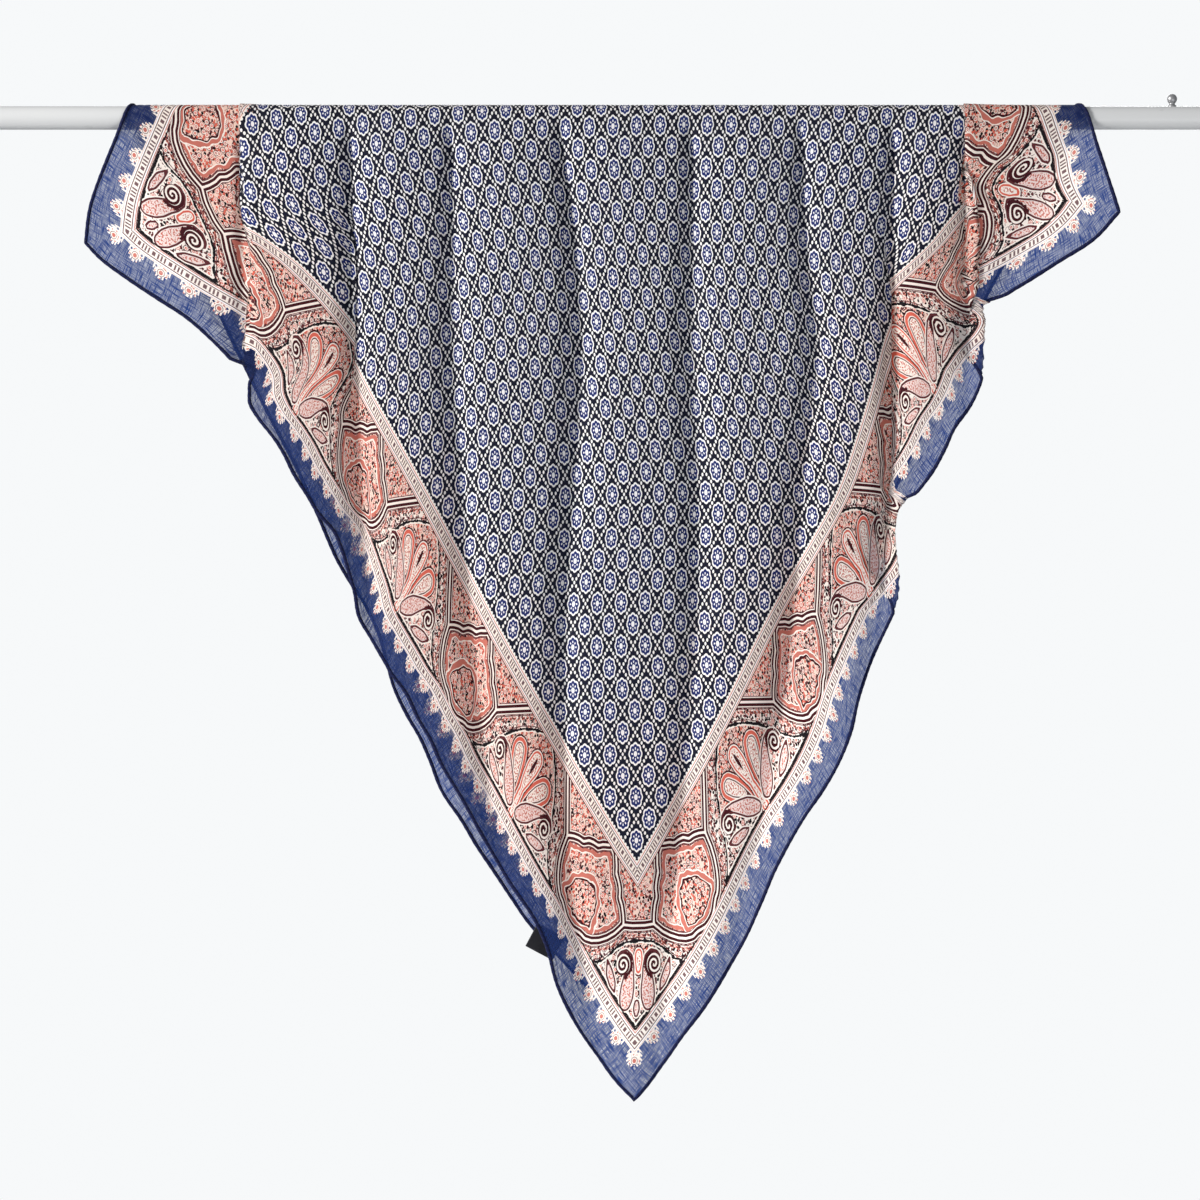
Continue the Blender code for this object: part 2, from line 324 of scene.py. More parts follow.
    def folds_at(self, x: Array, run: Array, grooves: Sequence[Groove], bulge: float) -> Array:
        """How far the soft folds move the cloth.

        Args:
            x: place along the rail.
            run: signed distance from the rail's top.
            grooves: the grooves of this stretch, from left to right.
            bulge: how far a panel between two grooves stands out, in millimetres.

        Returns:
            Distance away from the rail, so that a groove is negative.
        """
        down = np.abs(run)
        lowest = grooves[0].line[-1][0] * MM
        rises = smooth_step((down - self.panel_start) / self.panel_rise)
        starts = smooth_step((down - self.groove_start) / self.groove_rise)
        pinched = smooth_step(down / self.pinch_run)
        lines = [curve_through(groove.line, down) for groove in grooves]
        moved = np.zeros_like(x)
        for groove, line in zip(grooves, lines):
            width = groove.width * (groove.pinch + (1.0 - groove.pinch) * pinched) * MM
            fade = 1.0 - (1.0 - groove.left) * smooth_step(down / lowest)
            moved -= groove.depth * MM * fade * starts * np.exp(-(((x - line) / width) ** 2))
        past = (down - self.bulge_kept_to * lowest) / ((1.0 - self.bulge_kept_to) * lowest)
        fade = 1.0 - self.bulge_loss * smooth_step(past)
        for left, right in zip(lines[:-1], lines[1:]):
            t = np.clip((x - left) / (right - left), 0.0, 1.0)
            moved += bulge * MM * rises * fade * 4.0 * t * (1.0 - t)
        return moved

    def spread_at(
        self, across: Array, up: Array, half_width: Array, left: Array, right: Array
    ) -> Array:
        """Spreads a row of the cloth along the rail.

        The middle of a row keeps an even spread from row to row, so the print stays straight there. The
        outer stretch takes up what is left to the edge.

        Args:
            across: p - q.
            up: p + q.
            half_width: the greatest `across` of the row.
            left: x of the row's left edge.
            right: x of the row's right edge.

        Returns:
            Place along the rail with no tuck laid.
        """
        level, per_across, middle = np.array(self.spread).T
        per_across = curve_through(tuple(zip(level * 1000.0, per_across)), up)
        middle = curve_through(tuple(zip(level * 1000.0, middle)), up)
        flap = np.minimum(self.flap_share, 0.5 * half_width)
        x = middle + per_across * across
        past_left = smooth_step((-across - (half_width - flap)) / flap)
        past_right = smooth_step((across - (half_width - flap)) / flap)
        x = x + past_left * (left - (middle - per_across * half_width))
        return x + past_right * (right - (middle + per_across * half_width))

    def tucked(self, x: Array, run: Array, left: Array, right: Array) -> tuple[Array, Array]:
        """Lays the tucks of the front stretch.

        Args:
            x: place along the rail with no tuck laid.
            run: signed distance from the rail's top.
            left: x of the left edge at this level.
            right: x of the right edge at this level.

        Returns:
            The new x, and how far each point is lifted off the panel below it.
        """
        lift = np.zeros_like(x)
        for tuck in self.tucks:
            side = 1.0 if tuck.rail_x > 0 else -1.0
            opens = smooth_step((run / MM - tuck.open_run) / (tuck.full_run - tuck.open_run))
            closes = smooth_step((run / MM - tuck.close_run) / (tuck.gone_run - tuck.close_run))
            line = (tuck.rail_x + tuck.lean * np.abs(run)) * MM
            room = side * ((right if side > 0 else left) - line)
            overlap = tuck.overlap * MM * opens * (1.0 - closes) * smooth_step(room / self.tuck_room)
            gain = 1.0 + 2.0 * overlap / np.maximum(room, self.tuck_room)
            out = side * (x - line)
            reach = np.maximum(overlap / gain, 1e-5)
            share = smooth_step((out - reach) / (1.25 * reach) + 0.5)
            over = share if (tuck.hand is Hand.RIGHT_OVER_LEFT) == (side > 0) else 1.0 - share
            near = np.exp(-(((out - reach) / self.tuck_reach) ** 2))
            lift += 2.0 * tuck.lift * MM * over * near * np.minimum(overlap / (8.0 * MM), 1.0)
            laid = 2.0 * overlap * share
            x = np.where(out > 0.0, line + side * (gain * out - laid), x - side * laid)
        return x, lift

    def ripples(self, x: Array, run: Array, edge: Array) -> Array:
        """Small uneven puckers, a little stronger beside the rolled hem.

        Args:
            x: place along the rail.
            run: signed distance from the rail's top.
            edge: distance from the nearest hem on the flat cloth, in metres.

        Returns:
            Distance away from the rail.
        """
        hanging = smooth_step((np.abs(run) - 0.03) / 0.06)
        side = np.sign(run) * 31.7
        broad, fine, hem = (
            soft_noise(x / width + side, run / length + shift, seed)
            for width, length, shift, seed in self.ripple_cells
        )
        broad_mm, fine_mm, hem_mm = self.ripple_heights
        hem = hem * np.exp(-edge / self.hem_reach)
        return hanging * MM * (broad_mm * broad + fine_mm * fine + hem_mm * hem)

    def place(self, p: Array, q: Array) -> Array:
        """Hangs points of the flat square.

        Args:
            p: share of the side towards the right corner.
            q: share of the side towards the left corner.

        Returns:
            Points in metres, with x, y and z in the last axis.
        """
        p, q = np.broadcast_arrays(np.asarray(p, float), np.asarray(q, float))
        across, up = p - q, p + q
        half_width = np.maximum(np.minimum(up, 2.0 - up), 1e-9)
        run = self.run_at(across, up)
        left_run, right_run = self.run_at(-half_width, up), self.run_at(half_width, up)
        left = self.edge_at(left_run, self.flap_left, self.front_left, self.back_left)
        right = self.edge_at(right_run, self.flap_right, self.front_right, self.back_right)
        folded = np.maximum(curve_through(self.folded_right, np.maximum(right_run, 0.0)), 0.0)
        x = self.spread_at(across, up, half_width, left, right + folded)
        x, lift = self.tucked(x, run, left, right + folded)
        beyond = x - right
        x = np.where(beyond > 0.0, right - beyond, x)
        behind_fold = smooth_step(beyond / self.fold_turn) * np.minimum(folded / self.fold_full, 1.0)
        lift = lift - self.fold_gap * behind_fold
        ahead = self.folds_at(x, run, self.front_grooves, self.bulge) + lift
        behind = self.folds_at(x, run, self.back_grooves, self.back_bulge)
        blend = smooth_step((np.abs(run) + 0.002) / self.quarter_bend)
        mean = np.maximum((ahead + behind) / 2.0, 0.0)
        moved = mean + (np.where(run > 0.0, ahead, behind) - mean) * blend
        edge = self.side * np.minimum(np.minimum(p, 1 - p), np.minimum(q, 1 - q))
        moved = moved + self.ripples(x, run, edge)
        angle = np.clip(run, -self.quarter_bend, self.quarter_bend) / self.bend_radius
        below = np.maximum(np.abs(run) - self.quarter_bend, 0.0)
        radius = self.bend_radius + moved
        return np.stack([x, -radius * np.sin(angle), radius * np.cos(angle) - below], axis=-1)


# ---------------------------------------------------------------- drawing of the print


def distance_to_lines(points: Array, lines: Sequence[Sequence[Point]]) -> Array:
    """Distance from each point to the nearest of several open lines.

    Args:
        points: flat places in millimetres.
        lines: each line's points in order.

    Returns:
        One distance in millimetres for each point.
    """
    best = np.full(len(points), 1e9)
    for line in lines:
        for start, end in zip(line[:-1], line[1:]):
            a, ab = np.array(start), np.array(end) - np.array(start)
            along = np.clip((points - a) @ ab / max(ab @ ab, 1e-12), 0.0, 1.0)
            best = np.minimum(best, np.hypot(*(points - a - along[:, None] * ab).T))
    return best


def inside_shape(points: Array, outline: Sequence[Point]) -> Array:
    """Whether each point lies in a closed outline.

    Args:
        points: flat places in millimetres.
        outline: corners of the outline in order.

    Returns:
        True for the points inside.
    """
    x, y = points.T
    within = np.zeros(len(points), dtype=bool)
    for (x0, y0), (x1, y1) in zip(outline, (*outline[1:], outline[0])):
        if y0 != y1:
            crosses = ((y0 > y) != (y1 > y)) & (x < (x1 - x0) * (y - y0) / (y1 - y0) + x0)
            within ^= crosses
    return within


def depth_in_shapes(points: Array, outlines: Sequence[Sequence[Point]]) -> Array:
    """How deep each point lies in the nearest closed outline, negative outside.

    Args:
        points: flat places in millimetres.
        outlines: closed outlines.

    Returns:
        One signed distance in millimetres for each point.
    """
    best = np.full(len(points), -1e9)
    for outline in outlines:
        distance = distance_to_lines(points, [(*outline, outline[0])])
        best = np.maximum(best, np.where(inside_shape(points, outline), distance, -distance))
    return best


def depth_in_strokes(points: Array, strokes: Sequence[Sequence[Triple]]) -> Array:
    """How deep each point lies in tapering strokes, negative outside.

    Args:
        points: flat places in millimetres.
        strokes: each stroke's (x, y, radius) in order.

    Returns:
        One signed distance in millimetres for each point.
    """
    best = np.full(len(points), -1e9)
    for stroke in strokes:
        knots = np.array(stroke)
        steps = np.linspace(0, len(knots) - 1, 6 * len(knots))
        for x, y, radius in np.stack([np.interp(steps, range(len(knots)), k) for k in knots.T], 1):
            best = np.maximum(best, radius - np.hypot(points[:, 0] - x, points[:, 1] - y))
    return best


@dataclass(frozen=True)
class BorderDrawing:
    """The border's own drawing: shields between arched niches, with curled leaves in each niche.

    Places are (s, d) in millimetres on the flat cloth: d from the hem, and s from the corner to the
    middle of the side. An outline's rows are (across, d) of its right half, from its middle line. A
    stroke's rows are (across, d, radius), or (s, d, radius) for the corner's. The drawing repeats in
    mirror image round the square.
    """

    first_shield: float = 182.4
    pitch: float = 278.4
    arch_top: float = 158.0
    bowl: Rows = (
        (0, 42), (9, 43.2), (16, 46.5), (20, 48.5), (28, 50), (36, 55.5), (43, 63), (49, 72),
        (53.5, 82), (57, 96),
    )
    rise: Rows = ((96, 134), (121, 158))
    crown: Rows = (
        (0, 141), (7, 133), (14, 127), (18, 121.5), (24, 119.5), (31, 115.5), (36, 109), (43, 106.5),
        (50, 102), (57, 96),
    )
    island: Rows = (
        (0, 94), (8, 91.5), (16, 86), (22, 78), (26, 68), (28, 59), (22, 56), (13, 52), (0, 50),
    )
    niche: Rows = (
        (0, 138), (12, 134), (26, 124.5), (38, 113.5), (48, 101.5), (56, 89.5), (63, 78), (70, 67),
        (78, 57), (87, 50), (97, 46),
    )
    petal: Stroke = ((7, 60, 0.8), (11, 70, 5), (17, 81, 8.6), (23, 91, 10.8), (27, 98, 10.6))
    stem: Stroke = ((0, 47, 4.6), (0, 60, 4.2), (0, 74, 4.0))
    drop: Stroke = ((0, 74, 3.0), (0, 88, 6.5), (0, 101, 9.0), (0, 110, 8.5))
    curl: Stroke = (
        (10, 55, 6.5), (15, 60, 8.8), (21, 66, 9.4), (28, 73, 7.4), (36, 80.5, 5.2), (45, 85.5, 3.8),
        (54, 86, 3.0), (61, 81, 2.2), (63, 74, 1.4),
    )
    leaf: Stroke = ((32, 50.5, 0.8), (42, 54, 5.2), (54, 58, 5.8), (67, 64, 0.8))
    scroll: Point = (52.5, 75.5)
    corner_rim: Rows = ((116, 104), (110, 110), (104, 116))
    corner_niche: Rows = ((129, 46), (123, 53), (120, 63), (118, 74), (113, 86), (104, 97))
    corner_curl: Stroke = (
        (71, 51, 6.8), (75, 56, 8.8), (80, 62, 8.8), (86, 69, 7.0), (91, 76.5, 5.0), (98, 82, 3.8),
        (105, 81.5, 3.0), (109.5, 76, 2.2), (110, 70, 1.4),
    )
    corner_leaf: Stroke = ((88, 48, 0.8), (97, 51, 4.4), (107, 54, 4.8), (119, 60, 0.8))
    corner_seed: Stroke = ((54, 54, 2.6), (57.5, 57.5, 4.2), (61, 61, 3.2))
    corner_bud: Stroke = ((82.0, 82.0, 3.0), (88.0, 88.0, 5.2), (92.0, 92.0, 4.6))
    corner_scroll: Point = (100.0, 71.0)

    @property
    def shields(self) -> list[float]:
        """Middle of each shield, with one past the middle of the side."""
        return [self.first_shield + k * self.pitch for k in range(3)]

    @property
    def niches(self) -> list[float]:
        """Middle of each niche."""
        return [self.first_shield + (k + 0.5) * self.pitch for k in range(2)]

    @staticmethod
    def both_sides(half: Rows, middle: float) -> list[Point]:
        """A whole outline from its right half, from left to right."""
        return [(middle - u, v) for u, v in half[::-1]] + [(middle + u, v) for u, v in half]

    @staticmethod
    def pair(stroke: Stroke, middle: float) -> list[list[Triple]]:
        """A stroke on each side of a middle line."""
        return [[(middle + side * u, v, r) for u, v, r in stroke] for side in (-1, 1)]

    @staticmethod
    def turned_over(rows: Sequence[Sequence[float]]) -> list[tuple[float, ...]]:
        """Rows mirrored about the corner's diagonal."""
        return [(row[1], row[0], *row[2:]) for row in rows]

    def rim_lines(self) -> list[list[Point]]:
        """The bowls of the shields and the straight rims that rise from them.

        Returns:
            Open lines.
        """
        first, second, third = self.shields
        end, depth = self.bowl[-1]
        corner = [(first - end, depth), *self.corner_rim, (depth, first - end)]
        rises = [
            [(about + side * u, v) for u, v in (self.bowl[-1], *self.rise)]
            for about, side in ((first, 1), (second, -1), (second, 1), (third, -1))
        ]
        bowls = [self.both_sides(self.bowl, about) for about in self.shields]
        return [*bowls, corner, *rises]

    def upper_shapes(self) -> list[list[Point]]:
        """What lies on the field's side of the rims.

        Returns:
            Closed outlines.
        """
        first, *others = self.shields
        rise = [(first + u, v) for u, v in self.rise]
        top = (self.arch_top, self.arch_top)
        corner = [*self.corner_rim[1::-1], *self.both_sides(self.bowl, first), *rise, top]
        return [corner, *[self.both_sides(self.bowl + self.rise, about) for about in others]]

    def niche_shapes(self) -> list[list[Point]]:
        """Outlines of the corner's niche and of the arched niches on the outer guard.

        Returns:
            Closed outlines.
        """
        start = self.niche[-1][1]
        corner = [(start, start), *self.corner_niche, *self.turned_over(self.corner_niche[::-1])]
        return [corner, *[self.both_sides(self.niche, about) for about in self.niches]]

    def plumes(self) -> list[Sequence[Triple]]:
        """The corner's bud, and the stem and middle drop of each niche's plume.

        Returns:
            Strokes.
        """
        parts = [s for c in self.niches for part in (self.stem, self.drop) for s in self.pair(part, c)]
        return [self.corner_bud, *parts]

    def curls(self) -> list[Sequence[Triple]]:
        """The curled leaves and the small leaves of the corner and of each niche.

        Returns:
            Strokes.
        """
        corner = [self.corner_curl, self.corner_leaf]
        corner += [self.turned_over(stroke) for stroke in corner]
        leaves = [s for c in self.niches for part in (self.curl, self.leaf) for s in self.pair(part, c)]
        return [*corner, self.corner_seed, *leaves]

    def scrolls(self) -> list[tuple[float, float, int]]:
        """Middle of each curled tip and the way that it winds.

        Returns:
            (s, d, way) rows, where the way is 1 or -1.
        """
        u, v = self.scroll
        s, d = self.corner_scroll
        sides = [(about + way * u, v, way) for about in self.niches for way in (-1, 1)]
        return [(s, d, 1), (d, s, -1), *sides]

    def scroll_places(self, points: Array) -> Array:
        """Places in the frame of the nearest curled tip.

        Args:
            points: (s, d) rows in millimetres.

        Returns:
            The two places and the distance from the tip's middle, for each point.
        """
        nearest = np.full((len(points), 3), 99.0)
        for x, y, way in self.scrolls():
            from_middle = (points - (x, y)) * (way, 1)
            radius = np.hypot(*from_middle.T)
            nearer = radius < nearest[:, 2]
            nearest[nearer] = np.column_stack([from_middle, radius])[nearer]
        return np.clip(nearest, -40.0, 40.0)

    def channels(self, points: Array) -> dict[str, Array]:
        """Measures the drawing at flat places.

        Args:
            points: (s, d) rows in millimetres.

        Returns:
            Vectors by attribute name, whose parts are distances in millimetres.
        """
        rims = distance_to_lines(points, self.rim_lines())
        upper = np.any([inside_shape(points, shape) for shape in self.upper_shapes()], axis=0)
        outlines = [
            self.both_sides(self.bowl, c) + self.both_sides(self.crown, c)[::-1] for c in self.shields
        ]
        shield = depth_in_shapes(points, outlines)
        island = depth_in_shapes(points, [self.both_sides(self.island, c) for c in self.shields])
        niche = depth_in_shapes(points, self.niche_shapes())
        petal = depth_in_strokes(points, [s for c in self.niches for s in self.pair(self.petal, c)])
        plume = depth_in_strokes(points, self.plumes())
        curl = depth_in_strokes(points, self.curls())
        scroll_x, scroll_y, scroll = self.scroll_places(points).T
        packed = {
            "print_rims": (np.where(upper, -rims, rims), shield, island),
            "print_shapes": (niche, petal, plume),
            "print_leaves": (curl, scroll, scroll),
            "print_scroll": (scroll_x, scroll_y, scroll),
        }
        return {name: np.clip(np.stack(parts, axis=-1), -60, 60) for name, parts in packed.items()}


# ---------------------------------------------------------------- materials


class Wire:
    """An output socket that can be used in sums: each operator adds its Math node."""

    def __init__(self, tree: bpy.types.NodeTree, socket: Socket) -> None:
        """Wraps one socket of a node tree."""
        self.tree = tree
        self.socket = socket

    def sum(self, operation: str, *values: "Wire | float") -> "Wire":
        """Adds a Math node.

        Args:
            operation: the node's operation.
            values: what goes into it, in order.

        Returns:
            The node's output.
        """
        node = self.tree.nodes.new("ShaderNodeMath")
        node.operation = operation
        for slot, value in zip(node.inputs, values):
            feed(self.tree, slot, value)
        return Wire(self.tree, node.outputs[0])

    def __add__(self, other: "Wire | float") -> "Wire":
        """Sum."""
        return self.sum("ADD", self, other)

    __radd__ = __add__

    def __sub__(self, other: "Wire | float") -> "Wire":
        """Difference."""
        return self.sum("SUBTRACT", self, other)

    def __rsub__(self, other: float) -> "Wire":
        """Difference from a number."""
        return self.sum("SUBTRACT", other, self)

    def __mul__(self, other: "Wire | float") -> "Wire":
        """Product."""
        return self.sum("MULTIPLY", self, other)

    __rmul__ = __mul__

    def __truediv__(self, other: "Wire | float") -> "Wire":
        """Quotient."""
        return self.sum("DIVIDE", self, other)

    def __abs__(self) -> "Wire":
        """Size without sign."""
        return self.sum("ABSOLUTE", self)

    def __lt__(self, other: "Wire | float") -> "Wire":
        """1 where smaller, else 0."""
        return self.sum("LESS_THAN", self, other)

    def __gt__(self, other: "Wire | float") -> "Wire":
        """1 where greater, else 0."""
        return self.sum("GREATER_THAN", self, other)

    def least(self, other: "Wire | float") -> "Wire":
        """The smaller of two."""
        return self.sum("MINIMUM", self, other)

    def most(self, other: "Wire | float") -> "Wire":
        """The greater of two."""
        return self.sum("MAXIMUM", self, other)

    def fold(self, length: float) -> "Wire":
        """Goes up and down between 0 and a length."""
        return self.sum("PINGPONG", self, length)

    def part(self) -> "Wire":
        """What stands after the decimal point."""
        return self.sum("FRACT", self)

    def sine(self) -> "Wire":
        """Sine."""
        return self.sum("SINE", self)

    def near(self, middle: float, half: float) -> "Wire":
        """1 where it lies within a half width of a middle value, else 0."""
        return abs(self - middle) < half


def feed(tree: bpy.types.NodeTree, slot: Socket, value: Any) -> None:
    """Links or sets one input socket.

    Args:
        tree: the node tree.
        slot: the input socket.
        value: a Wire, an output socket, a number or a colour.
    """
    if isinstance(value, Wire):
        tree.links.new(value.socket, slot)
    elif isinstance(value, bpy.types.NodeSocket):
        tree.links.new(value, slot)
    elif slot.type == "RGBA" and len(value) == 3:
        slot.default_value = (*value, 1.0)
    else:
        slot.default_value = value


class Dye:
    """Builds one material's nodes."""

    def __init__(self, name: str) -> None:
        """Starts an empty material.

        Args:
            name: the material's name.
        """
        self.material = bpy.data.materials.new(name)
        self.material.use_nodes = True
        self.tree = self.material.node_tree
        self.tree.nodes.clear()

    def node(
        self, kind: str, settings: dict[str, Any] | None = None, values: dict[Any, Any] | None = None
    ) -> bpy.types.Node:
        """Adds a node.

        Args:
            kind: the node's type, without the words ShaderNode.
            settings: properties that are set first. "stops" gives a ramp's (place, height) pairs,
                with a step from each to the next.
            values: numbers, colours or links for the input sockets, by name or place.

        Returns:
            The node.
        """
        node = self.tree.nodes.new("ShaderNode" + kind)
        for name, value in (settings or {}).items():
            if name == "stops":
                ramp = node.color_ramp
                ramp.interpolation = "CONSTANT"
                while len(ramp.elements) < len(value):
                    ramp.elements.new(1.0)
                for element, (place, height) in zip(ramp.elements, value):
                    element.position = place
                    element.color = (height, height, height, 1.0)
            else:
                setattr(node, name, value)
        for slot, value in (values or {}).items():
            feed(self.tree, node.inputs[slot], value)
        return node

    def wire(self, node: bpy.types.Node, output: int | str = 0) -> Wire:
        """One of a node's outputs as a Wire."""
        return Wire(self.tree, node.outputs[output])

    def parts(self, vector: Any) -> tuple[Wire, Wire, Wire]:
        """A vector's three parts."""
        node = self.node("SeparateXYZ", values={0: vector})
        return tuple(self.wire(node, k) for k in range(3))

    def measured(self, name: str) -> tuple[Wire, Wire, Wire]:
        """The three distances that the mesh keeps under a name."""
        node = self.node("Attribute", {"attribute_type": "GEOMETRY", "attribute_name": name})
        return self.parts(node.outputs["Vector"])

    def flat(self) -> tuple[Wire, Wire]:
        """Place on the flat cloth.

        Returns:
            Distance along p and along q, in millimetres.
        """
        uv = self.node("UVMap", {"uv_map": "flat_cloth"})
        u, v, _ = self.parts(uv.outputs["UV"])
        return u * SIDE_MM, v * SIDE_MM

    def vector(self, x: Any, y: Any) -> Wire:
        """A flat vector from two parts."""
        return self.wire(self.node("CombineXYZ", values={0: x, 1: y}))

    def mix(self, share: Any, under: Any, over: Any) -> Wire:
        """Lays one colour over another.

        Args:
            share: how much of the upper colour shows.
            under: lower colour or link.
            over: upper colour or link.

        Returns:
            The mixed colour.
        """
        settings = {"data_type": "RGBA", "blend_type": "MIX"}
        return self.wire(self.node("Mix", settings, {0: share, 6: under, 7: over}), 2)

    def layers(self, ground: Any, rows: Layers) -> Wire:
        """Lays colours over a ground, one after another.

        Args:
            ground: the lowest colour.
            rows: (share, colour) pairs, from the lowest up.

        Returns:
            The colour.
        """
        for share, colour in rows:
            ground = self.mix(share, ground, colour)
        return ground

    def noise(self, vector: Any, scale: float, detail: float = 1.0) -> Wire:
        """Soft noise from 0 to 1 over two coordinates."""
        values = {"Vector": vector, "Scale": scale, "Detail": detail}
        return self.wire(self.node("TexNoise", {"noise_dimensions": "2D"}, values))

    def solid_noise(self, scale: float, detail: float = 2.0) -> Wire:
        """Soft noise from 0 to 1 through space."""
        place = self.node("NewGeometry").outputs["Position"]
        return self.wire(self.node("TexNoise", values={"Vector": place, "Scale": scale, "Detail": detail}))

    def cells(self, vector: Any, scale: float, scatter: float) -> tuple[Wire, tuple[Wire, Wire, Wire]]:
        """Scattered round cells over two coordinates.

        Args:
            vector: the coordinates.
            scale: cells for each millimetre.
            scatter: how far the cells leave an even grid.

        Returns:
            The distance from the nearest cell's middle, and that cell's three random numbers.
        """
        values = {"Vector": vector, "Scale": scale, "Randomness": scatter}
        node = self.node("TexVoronoi", {"voronoi_dimensions": "2D"}, values)
        return self.wire(node, "Distance"), self.parts(node.outputs["Color"])

    def glow(self, colour: Colour) -> Socket:
        """Light of one colour that passes thin cloth."""
        return self.node("BsdfTranslucent", values={"Color": colour}).outputs[0]

    def shade(self, share: Any, first: Any, second: Any) -> Socket:
        """Mixes two shaders."""
        return self.node("MixShader", values={0: share, 1: first, 2: second}).outputs[0]

    def face(
        self, colour: Any, rough: tuple[Any, float, float], relief: tuple[float, float, Any], **more: float
    ) -> Socket:
        """An opaque face with uneven roughness and a fine relief.

        Args:
            colour: base colour or link.
            rough: what it varies with, and the roughness at that wire's 0 and 1.
            relief: the bump's strength, its distance in metres and its height.
            more: further values by socket name, with _ for each space.

        Returns:
            The shader.
        """
        varies, low, high = rough
        strength, distance, height = relief
        bump = self.node("Bump", values={"Strength": strength, "Distance": distance, "Height": height})
        values = {name.replace("_", " "): value for name, value in more.items()}
        values["Base Color"] = colour
        values["Roughness"] = self.wire(self.node("MapRange", values={0: varies, 3: low, 4: high}))
        values["Normal"] = bump.outputs[0]
        return self.node("BsdfPrincipled", values=values).outputs[0]

    def finish(self, shader: Socket) -> Material:
        """Sends a shader to the output and returns the material."""
        self.node("OutputMaterial", values={"Surface": shader})
        return self.material


@dataclass(frozen=True)
class Inks:
    """Colours of the print as linear light."""

    blue: Colour = (0.018, 0.034, 0.180)
    cream: Colour = (0.93, 0.84, 0.77)
    white: Colour = (0.93, 0.91, 0.91)
    blush: Colour = (0.85, 0.56, 0.46)
    rose: Colour = (0.56, 0.17, 0.130)
    coral: Colour = (0.70, 0.135, 0.090)
    maroon: Colour = (0.048, 0.005, 0.010)
    plum: Colour = (0.105, 0.022, 0.028)
    black: Colour = (0.008, 0.007, 0.010)
    petal: Colour = (0.84, 0.68, 0.64)
    umber: Colour = (0.17, 0.10, 0.11)
    night: Colour = (0.006, 0.006, 0.014)
    dyed: Colour = (0.005, 0.014, 0.072)
    dyed_cloud: Colour = (0.012, 0.022, 0.090)
    lit: Colour = (0.030, 0.085, 0.350)


@dataclass(frozen=True)
class Voile:
    """Thin plain weave with slubs: how it lets light through and how its threads stand.

    `through` is the share of light that a thread passes. A slub is `slub` millimetres thick and
    `slub_length` long, and `least_closed` is the least share of the cloth that threads close.
    """

    name: str
    through: float = 0.45
    slub: float = 0.9
    slub_length: float = 15.0
    least_closed: float = 0.4
    inks: Inks = field(default_factory=Inks)

    def threads(self, dye: Dye, p: Wire, q: Wire) -> tuple[Wire, Wire]:
        """Uneven threads of the weave.

        Args:
            dye: the material.
            p: first flat coordinate in millimetres.
            q: second flat coordinate in millimetres.

        Returns:
            How thick the threads are, round 0.5, and the height of the weave.
        """
        warp = dye.noise(dye.vector(p / self.slub, q / self.slub_length), 1.0)
        weft = dye.noise(dye.vector(p / self.slub_length + 31.0, q / self.slub), 1.0)
        slub = warp.most(weft)
        grid = (p * 8.0).sine() * (q * 8.0).sine()
        return slub, slub * 0.8 + grid * 0.2

    @staticmethod
    def folded(p: Wire, q: Wire) -> tuple[Wire, Wire]:
        """Distance from the nearest corner along the side, and from the nearest hem."""
        a, b = p.fold(SIDE_MM / 2), q.fold(SIDE_MM / 2)
        return a.most(b), a.least(b)

    def passed(self, dye: Dye, colour: Wire) -> Socket:
        """Light of a warm ink's colour that passes the threads.

        Red, yellow and white light are mixed by the colour's channels, which rise from blue to red.

        Args:
            dye: the material.
            colour: the ink's colour.

        Returns:
            The shader.
        """
        node = dye.node("SeparateColor", values={0: colour})
        red, green, blue = (dye.wire(node, k) for k in range(3))
        none, ruddy, yellow, white = (dye.glow(c) for c in ((0, 0, 0), (1, 0, 0), (1, 1, 0), (1, 1, 1)))
        warm = dye.shade((blue / green).least(1.0), yellow, white)
        warm = dye.shade((green / red).least(1.0), ruddy, warm)
        return dye.shade(red, none, warm)

    def cloth(
        self, dye: Dye, colour: Any, light: Socket, threads: Wire, weave: Wire, closed: Wire | None = None
    ) -> Material:
        """Puts the shaders together.

        Args:
            dye: the material.
            colour: the colour of the face.
            light: the shader of the light that passes the threads.
            threads: how thick the threads are.
            weave: the height of the weave.
            closed: share of the cloth that the threads close, or None where no gap shows.

        Returns:
            The finished material.
        """
        more = {"Specular_IOR_Level": 0.18, "Sheen_Weight": 0.04}
        face = dye.face(colour, (threads, 0.92, 0.72), (0.35, 0.0004, weave), **more)
        thread = dye.shade(self.through, face, light)
        if closed is None:
            return dye.finish(thread)
        clear = dye.node("BsdfTransparent", values={"Color": (1.0, 1.0, 1.0)}).outputs[0]
        return dye.finish(dye.shade(closed.least(1.0).most(self.least_closed), clear, thread))


